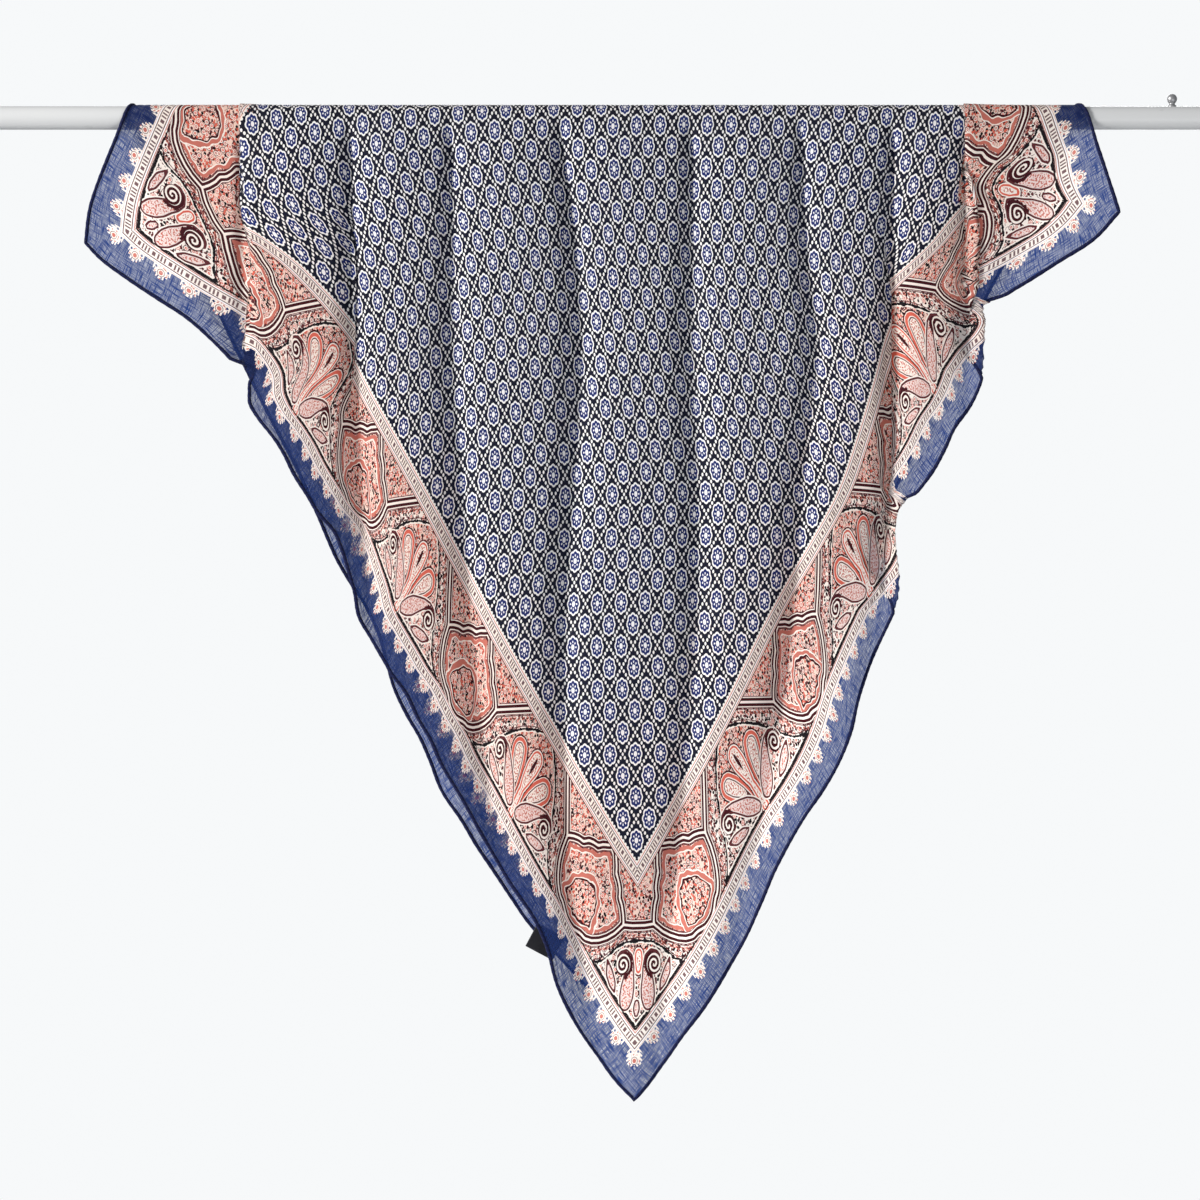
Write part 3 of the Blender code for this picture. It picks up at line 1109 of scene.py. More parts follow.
@dataclass(frozen=True)
class MarginFinish(Voile):
    """The blue margin inside the hem, with the small scalloped edging of the border.

    `steps` gives half of one scallop, as (from its middle line, height) rows. The flowers stand at
    `flower_line` from the hem, and the corner's flower stands on the diagonal at `corner_line`.
    """

    edge_line: float = 30.0
    flower_pitch: float = SIDE_MM / 44
    flower_line: float = 23.6
    corner_line: float = 24.6
    corner_end: float = 34.0
    tallest: float = 13.0
    steps: Rows = (
        (0.0, 12.6), (1.2, 9.8), (2.5, 11.6), (4.0, 7.6), (5.2, 8.8), (6.8, 4.2), (7.6, 5.8), (8.7, 0.8),
    )
    eyelet: Triple = (6.1, 2.6, 1.5)

    def edging(self, dye: Dye, s: Wire, d: Wire) -> tuple[Wire, Wire]:
        """Places the stepped edging.

        Args:
            dye: the material.
            s: distance from the corner along the side.
            d: distance from the hem.

        Returns:
            Where the edging is cream, and the squared distance from its flowers' middles.
        """
        half = self.flower_pitch / 2
        x = s.fold(half)
        stops = [(place / half, height / self.tallest) for place, height in self.steps]
        profile = dye.wire(dye.node("ValToRGB", {"stops": stops}, {0: x / half}))
        above = self.edge_line - d
        hole_x, hole_y, hole = self.eyelet
        paper = (above < profile * self.tallest) * (abs(x - hole_x) + abs(above - hole_y) > hole)
        flower_y, corner_x, corner_y = d - self.flower_line, s - self.corner_line, d - self.corner_line
        flower = x * x + flower_y * flower_y
        corner = corner_x * corner_x + corner_y * corner_y
        return paper, flower + (s < self.corner_end) * (corner - flower)

    def make(self) -> Material:
        """Builds the material.

        Returns:
            The material.
        """
        inks = self.inks
        dye = Dye(self.name)
        p, q = dye.flat()
        threads, weave = self.threads(dye, p, q)
        paper, flower = self.edging(dye, *self.folded(p, q))
        place = dye.vector(p, q)
        cloud, dots = dye.noise(place, 0.03, 2.0), dye.noise(place, 0.55, 0.0) > 0.56
        thin = tuple(c * 0.5 for c in inks.dyed)
        blue = dye.mix((threads - 0.35) * 1.6, inks.dyed, thin)
        blue = dye.mix((cloud - 0.4) * 0.6, blue, inks.dyed_cloud)
        drawn = dye.layers(inks.cream, [
            (flower < 4.2, inks.rose),
            (flower.near(11.5, 2.8) * 0.75, inks.plum),
            (flower.near(32.0, 8.0) * dots, inks.rose),
        ])
        plain = 1.0 - paper
        closed = (threads - 0.55) * (plain * 0.6 + 0.7) + (0.94 - plain * 0.12)
        light = dye.shade(paper, dye.glow(inks.lit), self.passed(dye, drawn))
        return self.cloth(dye, dye.mix(paper, blue, drawn), light, threads, weave, closed)


@dataclass(frozen=True)
class FieldFinish(Voile):
    """Navy field with a small all-over repeat of rosettes in a trellis of beads."""

    pitch: float = SIDE_MM / 44
    disc: float = 8.4
    lobe: float = 1.3
    outline: float = 0.95
    eyelet: float = 2.7
    bead: float = 2.7
    ray: Point = (3.9, 6.0)
    wash: Colour = (0.05, 0.05, 0.09)
    night_lit: Colour = (0.006, 0.012, 0.050)

    def beads(self, x: Wire, y: Wire) -> Wire:
        """Squared distance from the nearest bead of the trellis.

        Args:
            x: distance from a rosette's middle along p.
            y: distance from a rosette's middle along q.

        Returns:
            The squared distance in square millimetres.
        """
        half = self.pitch / 2
        bead_x, bead_y = (abs(k.fold(half / 3) - half / 6) for k in (x, y))
        out_x, out_y, off_x, off_y = half - x, half - y, half / 6 - bead_x, half / 6 - bead_y
        return (out_x * out_x + off_y * off_y).least(out_y * out_y + off_x * off_x)

    def make(self) -> Material:
        """Builds the material.

        Returns:
            The material.
        """
        dye = Dye(self.name)
        p, q = dye.flat()
        threads, weave = self.threads(dye, p, q)
        drift = (threads - 0.5) * 0.9
        x, y = p.fold(self.pitch / 2), q.fold(self.pitch / 2)
        square = x * x + y * y
        radius = square.sum("SQRT", square) + drift
        turn = y.sum("ARCTAN2", y, x) * 4.0
        lobes = abs(turn.sum("COSINE", turn))
        rim = radius - lobes * self.lobe
        rays = (radius < self.ray[1]) * (radius > self.ray[0]) * (lobes > 0.82)
        beads = self.beads(x, y) + drift < self.bead
        paper = rim.near(self.disc, self.outline).most(radius < self.eyelet).most(rays).most(beads)
        cloud = dye.noise(dye.vector(p, q), 0.012, 2.0)
        uneven = (threads - 0.5) * 0.3 + (cloud - 0.5) * 0.2
        inks = self.inks
        rows = [(rim < self.disc, inks.blue), (paper, inks.white), (uneven, self.wash)]
        light = dye.shade(paper, dye.glow(self.night_lit), dye.glow(inks.white))
        return self.cloth(dye, dye.layers(inks.night, rows), light, threads, weave)


@dataclass(frozen=True)
class BorderFinish(Voile):
    """The printed border: guards, shields and arched niches.

    Each method below gives (share, colour) rows of the print, from the lowest up, from distances in
    millimetres that are positive inside a shape.
    """

    outer_guard: Point = (30.0, 42.0)
    inner_guard: Point = (134.0, 150.0)
    outline: float = 0.9
    hair: float = 0.5
    rung_pitch: float = 3.36
    square_pitch: float = 16.8
    wash: Colour = (0.10, 0.05, 0.07)

    def meadow_rows(self, dye: Dye, place: Wire, rich: Wire) -> Layers:
        """Small flowers, buds and specks all over the paper.

        Args:
            dye: the material.
            place: flat coordinates.
            rich: where the flowers are coral and close together.

        Returns:
            The rows.
        """
        inks = self.inks
        flower, tone = dye.cells(place, 0.155, 0.75)
        speck, grain = dye.cells(place, 0.33, 1.0)
        stems = dye.noise(place, 0.12)
        bloom = (flower < 0.42) * (tone[0] > 0.30)
        return [
            (rich * 0.7, inks.blush),
            (stems.near(0.5, 0.022) * (flower > 0.36), inks.plum),
            ((speck < 0.48) * (grain[0] > 0.32), dye.mix(grain[2] > 0.5, inks.plum, inks.black)),
            ((speck < 0.41) * (grain[1] > 0.60) * rich, inks.coral),
            (bloom, dye.mix(tone[1] > 0.5, inks.plum, inks.rose)),
            (bloom * (flower < 0.32), inks.cream),
            (bloom * (flower < 0.20), dye.mix(tone[2] > 0.4, inks.rose, inks.coral)),
            (bloom * (flower < 0.07), inks.cream),
        ]

    def shield_rows(self, d: Wire, shield: Wire, island: Wire, scallop: Wire) -> Layers:
        """Bands and the rounded patch inside a shield.

        Args:
            d: distance from the hem.
            shield: depth in the shield.
            island: depth in the patch.
            scallop: slow waves of the outlines.

        Returns:
            The rows.
        """
        inks = self.inks
        inner, patch = shield + scallop * 0.5, island + scallop * 0.7
        return [
            (shield.near(6.0, self.hair), inks.plum),
            (inner.near(8.8, 1.6) * (d > 62.0), inks.rose),
            (inner.near(11.0, 0.6) * (d > 62.0), inks.cream),
            (patch.near(-1.0, 1.8), inks.rose),
            (patch.near(1.4, 0.6), inks.cream),
            (patch.near(2.7, self.outline), inks.maroon),
            (patch.near(-3.6, 0.6), inks.cream),
        ]

    def niche_rows(self, s: Wire, rim: Wire, niche: Wire, wobble: Wire, vine: Wire) -> Layers:
        """The band beside the rims, and a niche's wavy outline.

        Args:
            s: distance from the corner along the side.
            rim: distance from the rims.
            niche: depth in the niche.
            wobble: quick waves of the outlines.
            vine: half width of the niche's outline.

        Returns:
            The rows.
        """
        inks = self.inks
        band = (rim > 4.4) * (niche < 0.0)
        dashes = (s * 0.21).part()
        return [
            (band * rim.near(9.0, 1.3) * (dashes > 0.45), inks.rose),
            (band * rim.near(9.0, 0.5) * (dashes > 0.60), inks.maroon),
            (band * rim.near(6.2, 0.42), inks.plum),
            (band * niche.near(-2.6, 0.42), inks.plum),
            (niche.near(1.6, 0.9), inks.cream),
            (abs(niche + wobble * 0.5) < vine.most(self.outline), inks.black),
        ]

    def plume_rows(self, d: Wire, petal: Wire, plume: Wire, wobble: Wire, dots: Wire) -> Layers:
        """Plume and petals of a niche.

        Args:
            d: distance from the hem.
            petal: depth in the large petals.
            plume: depth in the stem and the middle drop.
            wobble: quick waves of the outlines.
            dots: where fine dots lie.

        Returns:
            The rows.
        """
        inks = self.inks
        return [
            (petal > -2.4, inks.cream),
            ((petal + wobble * 0.3).near(-3.0, 0.8) * (d > 66.0), inks.maroon),
            (petal.near(0.3, 1.7), inks.coral),
            (petal.near(3.6, 0.6), inks.plum),
            ((petal > 5.0) * dots, inks.rose),
            (plume > -2.0, inks.cream),
            ((plume + wobble * 0.3).near(-2.2, 0.7), inks.plum),
            (plume.near(0.6, 0.9), inks.coral),
            ((plume > 2.6) * dots, inks.rose),
            (plume > 6.6, inks.maroon),
        ]

    def leaf_rows(
        self, d: Wire, curl: Wire, scroll: tuple[Wire, Wire, Wire], wobble: Wire, dots: Wire
    ) -> Layers:
        """Curled leaves with their wound tips.

        Args:
            d: distance from the hem.
            curl: depth in the leaves.
            scroll: the two places and the distance from the middle of the nearest tip.
            wobble: quick waves of the outlines.
            dots: where fine dots lie.

        Returns:
            The rows.
        """
        inks = self.inks
        x, y, radius = scroll
        turn = y.sum("ARCTAN2", y, x) / FULL_TURN
        winding = (radius / 4.6 - turn).part()
        head = radius < 9.6
        return [
            (curl > -1.4, inks.cream),
            (curl > 0.0, inks.petal),
            (dots * (curl > 2.2), inks.rose),
            ((curl > 0.0) * (radius + wobble * 1.5 < 13.5) * (d > 64.0), inks.maroon),
            (curl.near(0.7, self.outline), inks.plum),
            (head, inks.cream),
            (head * (winding < 0.56), inks.maroon),
        ]

    def rim_rows(self, s: Wire, d: Wire, rim: Wire, shield: Wire) -> Layers:
        """Maroon and white rims, and the two guards with their rungs and small squares.

        Args:
            s: distance from the corner along the side.
            d: distance from the hem.
            rim: distance from the rims.
            shield: depth in the shield.

        Returns:
            The rows.
        """
        inks = self.inks
        lines = abs(rim).least(abs(shield))
        guard = (d < self.outer_guard[1] + 1.0).most(d > self.inner_guard[0])
        outer, inner = (sum(ends) / 2 for ends in (self.outer_guard, self.inner_guard))
        level = abs(d - outer).least(abs(d - inner))
        count = (s / self.square_pitch).part()
        rungs = (level < 2.7) * ((s / self.rung_pitch).part() < 0.48) * (count > 0.34)
        squares = (level < 2.0) * count.near(0.17, 0.10)
        return [
            (lines < 5.4, inks.plum),
            (lines < 4.7, inks.cream),
            (lines < 3.7, inks.maroon),
            (lines < 1.1, inks.cream),
            (guard, inks.cream),
            (d.near(self.inner_guard[0], self.hair), inks.plum),
            (rungs.most(squares), inks.umber),
            (level.near(3.9, self.hair), inks.plum),
            (level.near(6.0, self.hair), inks.rose),
            (guard * level.near(5.0, 0.7), inks.white),
            (d.near(44.6, 0.7) * (rim > 5.4), inks.black),
        ]

    def make(self) -> Material:
        """Builds the material.

        Returns:
            The material.
        """
        dye = Dye(self.name)
        p, q = dye.flat()
        threads, weave = self.threads(dye, p, q)
        s, d = self.folded(p, q)
        rim, shield, island = dye.measured("print_rims")
        niche, petal, plume = dye.measured("print_shapes")
        curl, scroll, _ = dye.measured("print_leaves")
        scroll_x, scroll_y, _ = dye.measured("print_scroll")
        place = dye.vector(p, q)
        wobble = (dye.noise(place, 0.35) - 0.5) * 3.0
        scallop = (dye.noise(place, 0.11, 0.0) - 0.5) * 7.0
        vine = (dye.noise(place, 0.13, 0.0) * 3.2 - 0.55) * (d > 50.0)
        dots = dye.noise(place, 0.55, 0.0) > 0.56
        rich = (shield > 0.0).most((d > 96.0) * (rim < 0.0)).most((niche > 0.0) * (d > 84.0))
        ground = dye.layers(self.inks.cream, [
            *self.meadow_rows(dye, place, rich),
            *self.shield_rows(d, shield, island, scallop),
            *self.niche_rows(s, rim, niche, wobble, vine),
            *self.plume_rows(d, petal, plume, wobble, dots),
            *self.leaf_rows(d, curl, (scroll_x, scroll_y, scroll), wobble, dots),
            *self.rim_rows(s, d, rim, shield),
        ])
        colour = dye.mix((threads - 0.5) * 0.25, ground, self.wash)
        return self.cloth(dye, colour, self.passed(dye, ground), threads, weave)


@dataclass(frozen=True)
class HemFinish:
    """Tightly rolled navy hem with small whipped stitches."""

    name: str = "rolled_hem_thread"
    dyed: Colour = (0.001, 0.002, 0.018)
    worn: Colour = (0.003, 0.006, 0.042)
    thread: Colour = (0.010, 0.016, 0.08)

    def make(self) -> Material:
        """Builds the material.

        Returns:
            The material.
        """
        dye = Dye(self.name)
        uv = dye.node("UVMap", {"uv_map": "along_hem"})
        u, v, _ = dye.parts(uv.outputs["UV"])
        thread = (u + v * 1.4).part().near(0.5, 0.16)
        twist = dye.noise(dye.vector(u * 2.0 + v * 3.0, v * 14.0), 1.0, 2.0)
        colour = dye.layers(self.dyed, [(twist, self.worn), (thread * 0.4, self.thread)])
        relief = (0.6, 0.0004, twist * 0.6 + thread)
        more = {"Specular_IOR_Level": 0.15, "Sheen_Weight": 0.04}
        return dye.finish(dye.face(colour, (twist, 0.7, 0.95), relief, **more))


@dataclass(frozen=True)
class LabelFinish:
    """Bare black satin tape with a fine rib."""

    name: str = "label_satin"
    dyed: Colour = (0.004, 0.004, 0.006)
    worn: Colour = (0.009, 0.009, 0.012)
    folded: Colour = (0.014, 0.014, 0.018)

    def make(self) -> Material:
        """Builds the material.

        Returns:
            The material.
        """
        dye = Dye(self.name)
        uv = dye.node("UVMap", {"uv_map": "tape"})
        u, v, _ = dye.parts(uv.outputs["UV"])
        rib = (v * 420.0).sine()
        float_thread = dye.noise(dye.vector(u * 30.0, v * 120.0), 1.0)
        edge = (abs(v - 0.5) > 0.455).most(abs(u - 0.5) > 0.46)
        colour = dye.layers(self.dyed, [(float_thread, self.worn), (edge, self.folded)])
        relief = (0.4, 0.0002, rib * 0.5 + float_thread + edge)
        return dye.finish(dye.face(colour, (float_thread, 0.38, 0.6), relief, Specular_IOR_Level=0.2))


@dataclass(frozen=True)
class PaintFinish:
    """Satin paint on metal with the faint unevenness of a sprayed coat and small scuffs."""

    name: str
    paint: Colour
    metallic: float = 0.0
    roughness: float = 0.34

    def make(self) -> Material:
        """Builds the material.

        Returns:
            The material.
        """
        dye = Dye(self.name)
        cloud, peel, scuff = (dye.solid_noise(scale) for scale in (9.0, 900.0, 60.0))
        shaded, worn = (tuple(c * share for c in self.paint) for share in (0.86, 0.7))
        colour = dye.layers(self.paint, [((cloud - 0.3) * 0.5, shaded), ((scuff > 0.70) * 0.25, worn)])
        rough = (cloud, self.roughness - 0.06, self.roughness + 0.12)
        return dye.finish(dye.face(colour, rough, (0.08, 0.0003, peel), Metallic=self.metallic))


@dataclass(frozen=True)
class FloorFinish:
    """Plain pale matt floor."""

    name: str = "pale_floor"
    dark: Colour = (0.86, 0.87, 0.88)
    light: Colour = (0.89, 0.90, 0.91)

    def make(self) -> Material:
        """Builds the material.

        Returns:
            The material.
        """
        dye = Dye(self.name)
        colour = dye.mix(dye.solid_noise(3.0, 3.0), self.dark, self.light)
        face = dye.node("BsdfPrincipled", values={"Base Color": colour, "Roughness": 0.8})
        return dye.finish(face.outputs[0])


# ---------------------------------------------------------------- pieces


def mesh_object(
    name: str, points: Sequence[Any], faces: Sequence[Sequence[int]], materials: Sequence[Material]
) -> Thing:
    """Makes a smooth-shaded mesh object.

    Args:
        name: the object's name.
        points: its points in metres.
        faces: point numbers of each face.
        materials: its material slots.

    Returns:
        The object, linked to the scene.
    """
    mesh = bpy.data.meshes.new(name)
    mesh.from_pydata([tuple(p) for p in points], [], [tuple(f) for f in faces])
    mesh.polygons.foreach_set("use_smooth", np.ones(len(mesh.polygons), dtype=bool))
    for material in materials:
        mesh.materials.append(material)
    mesh.update()
    made = bpy.data.objects.new(name, mesh)
    bpy.context.scene.collection.objects.link(made)
    return made


def set_uv(mesh: bpy.types.Mesh, name: str, places: Array) -> None:
    """Gives each corner of a mesh its point's place on a flat map.

    Args:
        mesh: the mesh.
        name: the map's name.
        places: one (u, v) for each point.
    """
    corners = np.empty(len(mesh.loops), dtype=np.int32)
    mesh.loops.foreach_get("vertex_index", corners)
    mesh.uv_layers.new(name=name).data.foreach_set("uv", places[corners].astype(np.float32).ravel())


def grid_faces(rows: int, columns: int, closed: bool = False) -> Array:
    """Quads of a grid of points.

    Args:
        rows: number of rows of points.
        columns: number of points in a row.
        closed: whether the last column joins the first.

    Returns:
        Four point numbers for each quad.
    """
    across = np.arange(columns if closed else columns - 1)
    first = np.arange(rows - 1)[:, None] * columns + across[None, :]
    second = np.arange(rows - 1)[:, None] * columns + ((across + 1) % columns)[None, :]
    return np.stack([first, second, second + columns, first + columns], axis=-1).reshape(-1, 4)


def swept_loop(name: str, path: Array, radii: Array, material: Material, uv_step: float) -> Thing:
    """Sweeps a round section along a closed path.

    Args:
        name: the object's name.
        path: points of the middle line.
        radii: one radius for each path point and point of the section.
        material: its material.
        uv_step: length along the path that counts as one on its map.

    Returns:
        The closed tube.
    """
    sides = radii.shape[1]
    ahead = np.roll(path, -1, 0) - np.roll(path, 1, 0)
    ahead /= np.linalg.norm(ahead, axis=1)[:, None]
    away = np.array([0.0, 1.0, 0.0]) - ahead * ahead[:, 1:2]
    away /= np.linalg.norm(away, axis=1)[:, None]
    beside = np.cross(ahead, away)
    turn = (np.arange(sides) / sides * FULL_TURN)[None, :, None]
    section = away[:, None] * np.cos(turn) + beside[:, None] * np.sin(turn)
    points = (path[:, None] + section * radii[:, :, None]).reshape(-1, 3)
    faces = grid_faces(len(path), sides, closed=True).tolist()
    last = (len(path) - 1) * sides
    faces += [[last + k, last + (k + 1) % sides, (k + 1) % sides, k] for k in range(sides)]
    made = mesh_object(name, points, faces, [material])
    along = np.concatenate([[0.0], np.cumsum(np.linalg.norm(np.diff(path, axis=0), axis=1))])
    u = np.repeat(along / uv_step, sides)
    set_uv(made.data, "along_hem", np.column_stack([u, np.tile(np.arange(sides) / sides, len(path))]))
    return made


@dataclass
class ShawlCloth:
    """The whole uncut square of printed voile, hung over the rail."""

    drape: Drape
    drawing: BorderDrawing = field(default_factory=BorderDrawing)
    margin: float = 30.0
    border: float = 150.0
    cells: tuple[int, int, int] = (10, 50, 184)

    def lines(self) -> Array:
        """Places of the grid's lines along one side of the square.

        Returns:
            Places in millimetres.
        """
        edge, band, middle = self.cells
        half = [
            np.linspace(0, self.margin, edge, endpoint=False),
            np.linspace(self.margin, self.border, band, endpoint=False),
            np.linspace(self.border, SIDE_MM / 2, middle // 2 + 1),
        ]
        near = np.concatenate(half)
        return np.concatenate([near, (SIDE_MM - near[:-1])[::-1]])

    def print_channels(self, lines: Array) -> dict[str, Array]:
        """Measures the border's drawing at every point of the grid.

        Args:
            lines: places of the grid's lines.

        Returns:
            Vectors by attribute name, in the grid's order.
        """
        near = lines[: len(lines) // 2 + 1]
        s, d = np.meshgrid(near, near, indexing="ij")
        keep = (d <= s) & (d <= self.border + 6.0)
        found = self.drawing.channels(np.column_stack([s[keep], d[keep]]))
        index = np.arange(len(lines))
        index = np.minimum(index, len(lines) - 1 - index)
        high = np.maximum(index[:, None], index[None, :])
        low = np.minimum(index[:, None], index[None, :])
        result = {}
        for name, vectors in found.items():
            table = np.full((*keep.shape, 3), -60.0)
            table[keep] = vectors
            result[name] = table[high, low].reshape(-1, 3)
        return result

    def build(self, finishes: Sequence[Material]) -> Thing:
        """Makes the cloth.

        Args:
            finishes: one material for each Zone, in order.

        Returns:
            The cloth's object.
        """
        lines = self.lines()
        share = lines / SIDE_MM
        p, q = np.meshgrid(share, share, indexing="ij")
        points = self.drape.place(p, q).reshape(-1, 3)
        faces = grid_faces(len(lines), len(lines))
        cloth = mesh_object("shawl_cloth", points, faces.tolist(), finishes)
        mesh = cloth.data
        set_uv(mesh, "flat_cloth", np.column_stack([p.ravel(), q.ravel()]))
        middle = (lines[1:] + lines[:-1]) / 2
        middle = np.minimum(middle, SIDE_MM - middle)
        depth = np.minimum(middle[:, None], middle[None, :]).ravel()
        zone = np.where(depth < self.margin, Zone.MARGIN.value, Zone.BORDER.value)
        zone = np.where(depth > self.border, Zone.FIELD.value, zone)
        mesh.polygons.foreach_set("material_index", zone.astype(np.int32))
        for name, vectors in self.print_channels(lines).items():
            kept = mesh.attributes.new(name, "FLOAT_VECTOR", "POINT")
            kept.data.foreach_set("vector", vectors.astype(np.float32).ravel())
        return cloth


@dataclass
class RolledHem:
    """One rolled hem all round the square."""

    drape: Drape
    radius: float = 0.0019
    step: float = 0.0035
    sides: int = 8
    stitch: float = 0.0055
    roll: float = 0.08
    uneven: float = 0.10
    lump: float = 0.019

    def build(self, finish: Material) -> Thing:
        """Makes the hem.

        Args:
            finish: its material.

        Returns:
            The hem's object.
        """
        count = int(self.drape.side / self.step)
        t = np.arange(count) / count
        p = np.concatenate([np.zeros(count), t, np.ones(count), 1 - t])
        q = np.concatenate([1 - t, np.zeros(count), t, np.ones(count)])
        path = self.drape.place(p, q)
        place = np.arange(len(path)) * self.step
        turn = np.arange(self.sides)[None, :] / self.sides * FULL_TURN
        rolled = self.roll * np.sin(FULL_TURN * place[:, None] / self.stitch + 2 * turn)
        uneven = self.uneven * soft_noise(place / self.lump, np.zeros_like(place), 3)[:, None]
        radii = self.radius * (1.0 + rolled + uneven)
        return swept_loop("rolled_hem_loop", path, radii, finish, self.stitch)


@dataclass
class SewnLabel:
    """Small bare tape label, sewn on at its ends near the back corner."""

    width: float = 0.033
    height: float = 0.028
    thickness: float = 0.0006
    turn: float = math.radians(28)
    columns: int = 34
    rows: int = 28

    def build(self, finish: Material) -> Thing:
        """Makes the label where its solid is.

        Args:
            finish: its material.

        Returns:
            The label's object.
        """
        low, high = (np.array(corner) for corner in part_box("label"))
        centre = (low + high) / 2
        ends = [np.linspace(-0.5, 0.5, count) for count in (self.columns, self.rows)]
        u, v = np.meshgrid(*ends, indexing="ij")
        x, z = u * self.width, v * self.height
        cos, sin = math.cos(self.turn), math.sin(self.turn)
        bow = 0.0005 * (4 * v * v - 0.5) + 0.00025 * np.sin(9 * u + 2 * v)
        places = [centre[0] + x * cos + z * sin, centre[1] + bow, centre[2] - x * sin + z * cos]
        points = np.stack(places, -1).reshape(-1, 3)
        made = mesh_object("tape_label", points, grid_faces(self.columns, self.rows).tolist(), [finish])
        set_uv(made.data, "tape", np.column_stack([u.ravel() + 0.5, v.ravel() + 0.5]))
        solid = made.modifiers.new("tape", "SOLIDIFY")
        solid.thickness, solid.offset = self.thickness, 0.0
        return made


def turned(
    name: str, profile: Sequence[Point], sides: int, material: Material, matrix: Matrix
) -> Thing:
    """Turns a profile about an axis.

    Args:
        name: the object's name.
        profile: (radius, height) points from one end to the other.
        sides: steps round the axis.
        material: its material.
        matrix: from the profile's axes to the scene's.

    Returns:
        The turned piece.
    """
    turn = np.arange(sides) / sides * FULL_TURN
    rings = [[(r * math.cos(a), r * math.sin(a), h) for a in turn] for r, h in profile]
    points = [matrix @ Vector(p) for ring in rings for p in ring]
    faces = grid_faces(len(profile), sides, closed=True).tolist()
    last = (len(profile) - 1) * sides
    faces += [list(range(sides))[::-1], list(range(last, last + sides))]
    return mesh_object(name, points, faces, [material])


@dataclass
class HangingRail:
    """The straight painted rail, with eased ends, and the small stud on top of it."""

    radius: float = 0.0125
    half_length: float = 0.66
    ease: float = 0.0012
    sides: int = 160
    stud_x: float = 0.6125
    ball: float = 0.0055
    ball_ends: Point = (0.62, math.pi - 0.02)
    collar: Rows = ((0.0046, -0.0018), (0.0047, 0.0006), (0.0043, 0.0010), (0.0032, 0.0013))

    def build_rail(self, finish: Material) -> Thing:
        """Makes the rail.

        Args:
            finish: its material.

        Returns:
            The rail's object.
        """
        eased = [
            (self.radius - self.ease * (1 - math.sin(a)), self.half_length - self.ease * (1 - math.cos(a)))
            for a in np.linspace(0, math.pi / 2, 7)
        ]
        straight = self.half_length - self.ease
        body = [(self.radius, float(h)) for h in np.linspace(-straight, straight, 60)[1:-1]]
        profile = [*[(r, -h) for r, h in eased], *body, *eased[::-1]]
        return turned("hanging_rail", profile, self.sides, finish, Matrix.Rotation(math.pi / 2, 4, "Y"))

    def build_stud(self, finish: Material) -> Thing:
        """Makes the ball-headed stud, with its neck and collar.

        Args:
            finish: its material.

        Returns:
            The stud's object.
        """
        _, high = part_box("rail_stud")
        centre = high[2] - self.ball
        profile = [(r, self.radius + h) for r, h in self.collar]
        profile += [
            (self.ball * math.sin(a), centre - self.ball * math.cos(a))
            for a in np.linspace(*self.ball_ends, 22)
        ]
        return turned("rail_ball_stud", profile, 48, finish, Matrix.Translation((self.stud_x, 0, 0)))


@dataclass(frozen=True)
class Lamp:
    """A square soft lamp: its size in metres, its power in watts and its tint."""

    name: str
    place: Triple
    size: float
    power: float
    tint: Colour

    def build(self, target: Triple) -> None:
        """Adds the lamp.

        Args:
            target: what it faces.
        """
        light = bpy.data.lights.new(self.name, "AREA")
        light.size, light.energy, light.color = self.size, self.power, self.tint
        made = bpy.data.objects.new(self.name, light)
        made.location = self.place
        facing = Vector(target) - Vector(self.place)
        made.rotation_euler = facing.to_track_quat("-Z", "Y").to_euler()
        bpy.context.scene.collection.objects.link(made)


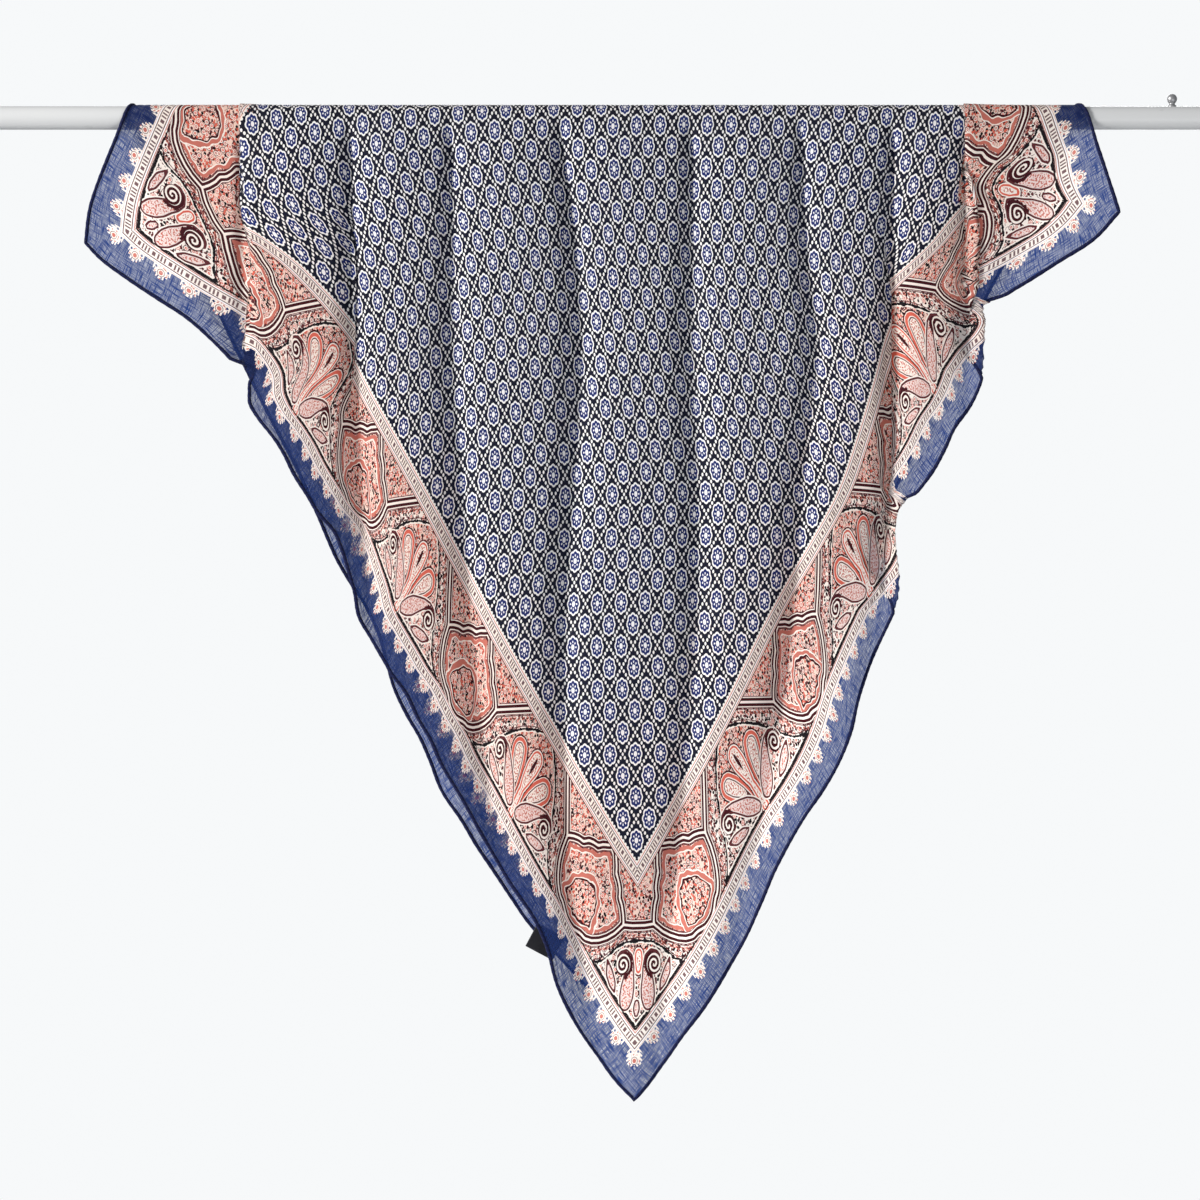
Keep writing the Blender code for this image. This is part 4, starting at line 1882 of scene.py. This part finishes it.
@dataclass
class Studio:
    """Pale floor, pale surroundings, soft lamps and the camera."""

    lamps: tuple[Lamp, ...] = (
        Lamp("key_lamp", (-5.0, -2.8, 1.2), 1.5, 630.0, (1.0, 0.985, 0.96)),
        Lamp("fill_lamp", (1.8, -3.0, -1.7), 1.8, 38.0, (0.96, 0.98, 1.0)),
        Lamp("back_lamp", (0.3, 2.6, 0.6), 2.0, 75.0, (0.98, 0.99, 1.0)),
    )
    lit_point: Triple = (0, 0, -0.45)
    sensor: float = 36.0
    distance: float = 4.0
    cloth_front: float = 0.016
    view_width: float = 1.28
    middle: Point = (0.0, -0.5162)
    floor_z: float = -1.36
    floor_radius: float = 1.12
    floor_rings: int = 24
    floor_sides: int = 96
    backdrop: Colour = (0.930, 0.945, 0.955)
    ambient: Colour = (0.36, 0.37, 0.38)

    def floor(self) -> Thing:
        """Makes the round floor.

        Returns:
            The floor's object.
        """
        turn = np.arange(self.floor_sides) / self.floor_sides * FULL_TURN
        around = np.column_stack([np.cos(turn), np.sin(turn)])
        count = self.floor_rings
        rings = [around * self.floor_radius * k / count for k in range(1, count + 1)]
        flat = np.concatenate([*rings, np.zeros((1, 2))])
        points = np.column_stack([flat, np.full(len(flat), self.floor_z)])
        faces = grid_faces(count, self.floor_sides, closed=True)[:, ::-1].tolist()
        middle = len(flat) - 1
        faces += [[middle, k, (k + 1) % self.floor_sides] for k in range(self.floor_sides)]
        return mesh_object("studio_floor", points, faces, [FloorFinish().make()])

    def surroundings(self) -> None:
        """Lights the scene evenly from all round."""
        world = bpy.data.worlds.new("pale_room")
        world.use_nodes = True
        tree = world.node_tree
        back = tree.nodes["Background"]
        back.inputs["Color"].default_value = (*self.ambient, 1.0)
        seen = tree.nodes.new("ShaderNodeBackground")
        seen.inputs["Color"].default_value = (*self.backdrop, 1.0)
        path = tree.nodes.new("ShaderNodeLightPath")
        choice = tree.nodes.new("ShaderNodeMixShader")
        tree.links.new(path.outputs["Is Camera Ray"], choice.inputs[0])
        tree.links.new(back.outputs[0], choice.inputs[1])
        tree.links.new(seen.outputs[0], choice.inputs[2])
        tree.links.new(choice.outputs[0], tree.nodes["World Output"].inputs["Surface"])
        bpy.context.scene.world = world
        bpy.context.scene.view_settings.view_transform = "Standard"

    def camera(self) -> None:
        """Sets the camera straight in front, as the photograph was taken."""
        data = bpy.data.cameras.new("camera")
        data.sensor_width = self.sensor
        data.lens = self.sensor * self.distance / self.view_width
        made = bpy.data.objects.new("camera", data)
        made.location = (self.middle[0], -self.distance - self.cloth_front, self.middle[1])
        made.rotation_euler = (math.pi / 2, 0, 0)
        bpy.context.scene.collection.objects.link(made)
        bpy.context.scene.camera = made

    def build(self) -> Thing:
        """Builds it all.

        Returns:
            The floor.
        """
        self.surroundings()
        for lamp in self.lamps:
            lamp.build(self.lit_point)
        self.camera()
        return self.floor()


# ---------------------------------------------------------------- the scene


def settle(piece: Thing, slot: str, *nodes: str) -> None:
    """Ties a piece to the frame and reports it.

    Args:
        piece: the finished piece.
        slot: name of the record's material slot for this piece; not used.
        nodes: CAD nodes that it stands for.
    """
    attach(piece, "root")
    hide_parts(*nodes)
    LOG.info("%s: %d faces, stands for %s", piece.name, len(piece.data.polygons), ", ".join(nodes))


def corners(box: tuple[Vector, Vector]) -> list[list[float]]:
    """A box as plain lists."""
    return [[float(v) for v in corner] for corner in box]


def main() -> None:
    """Builds the shawl, its rail and the studio."""
    logging.basicConfig(level=logging.INFO, format="%(name)s %(message)s")
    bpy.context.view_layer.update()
    drape = Drape()

    studio = Studio()
    studio.build()

    finishes = [
        MarginFinish("voile_margin").make(),
        BorderFinish("voile_border").make(),
        FieldFinish("voile_field").make(),
    ]
    cloth = ShawlCloth(drape).build(finishes)
    settle(cloth, "printed_voile", "cloth_front", "cloth_back")

    hem = RolledHem(drape).build(HemFinish().make())
    settle(hem, "rolled_hem", "hem_front_left", "hem_front_right", "hem_back_left", "hem_back_right")

    label = SewnLabel().build(LabelFinish().make())
    settle(label, "woven_label", "label")

    rail = HangingRail()
    paint = PaintFinish("rail_satin_paint", (0.48, 0.485, 0.49)).make()
    steel = PaintFinish("stud_satin_steel", (0.30, 0.30, 0.31), metallic=0.7, roughness=0.4).make()
    hanging = rail.build_rail(paint)
    settle(hanging, "painted_rail", "rail")
    settle(rail.build_stud(steel), "stud_steel", "rail_stud")


if __name__ == "__main__":
    main()
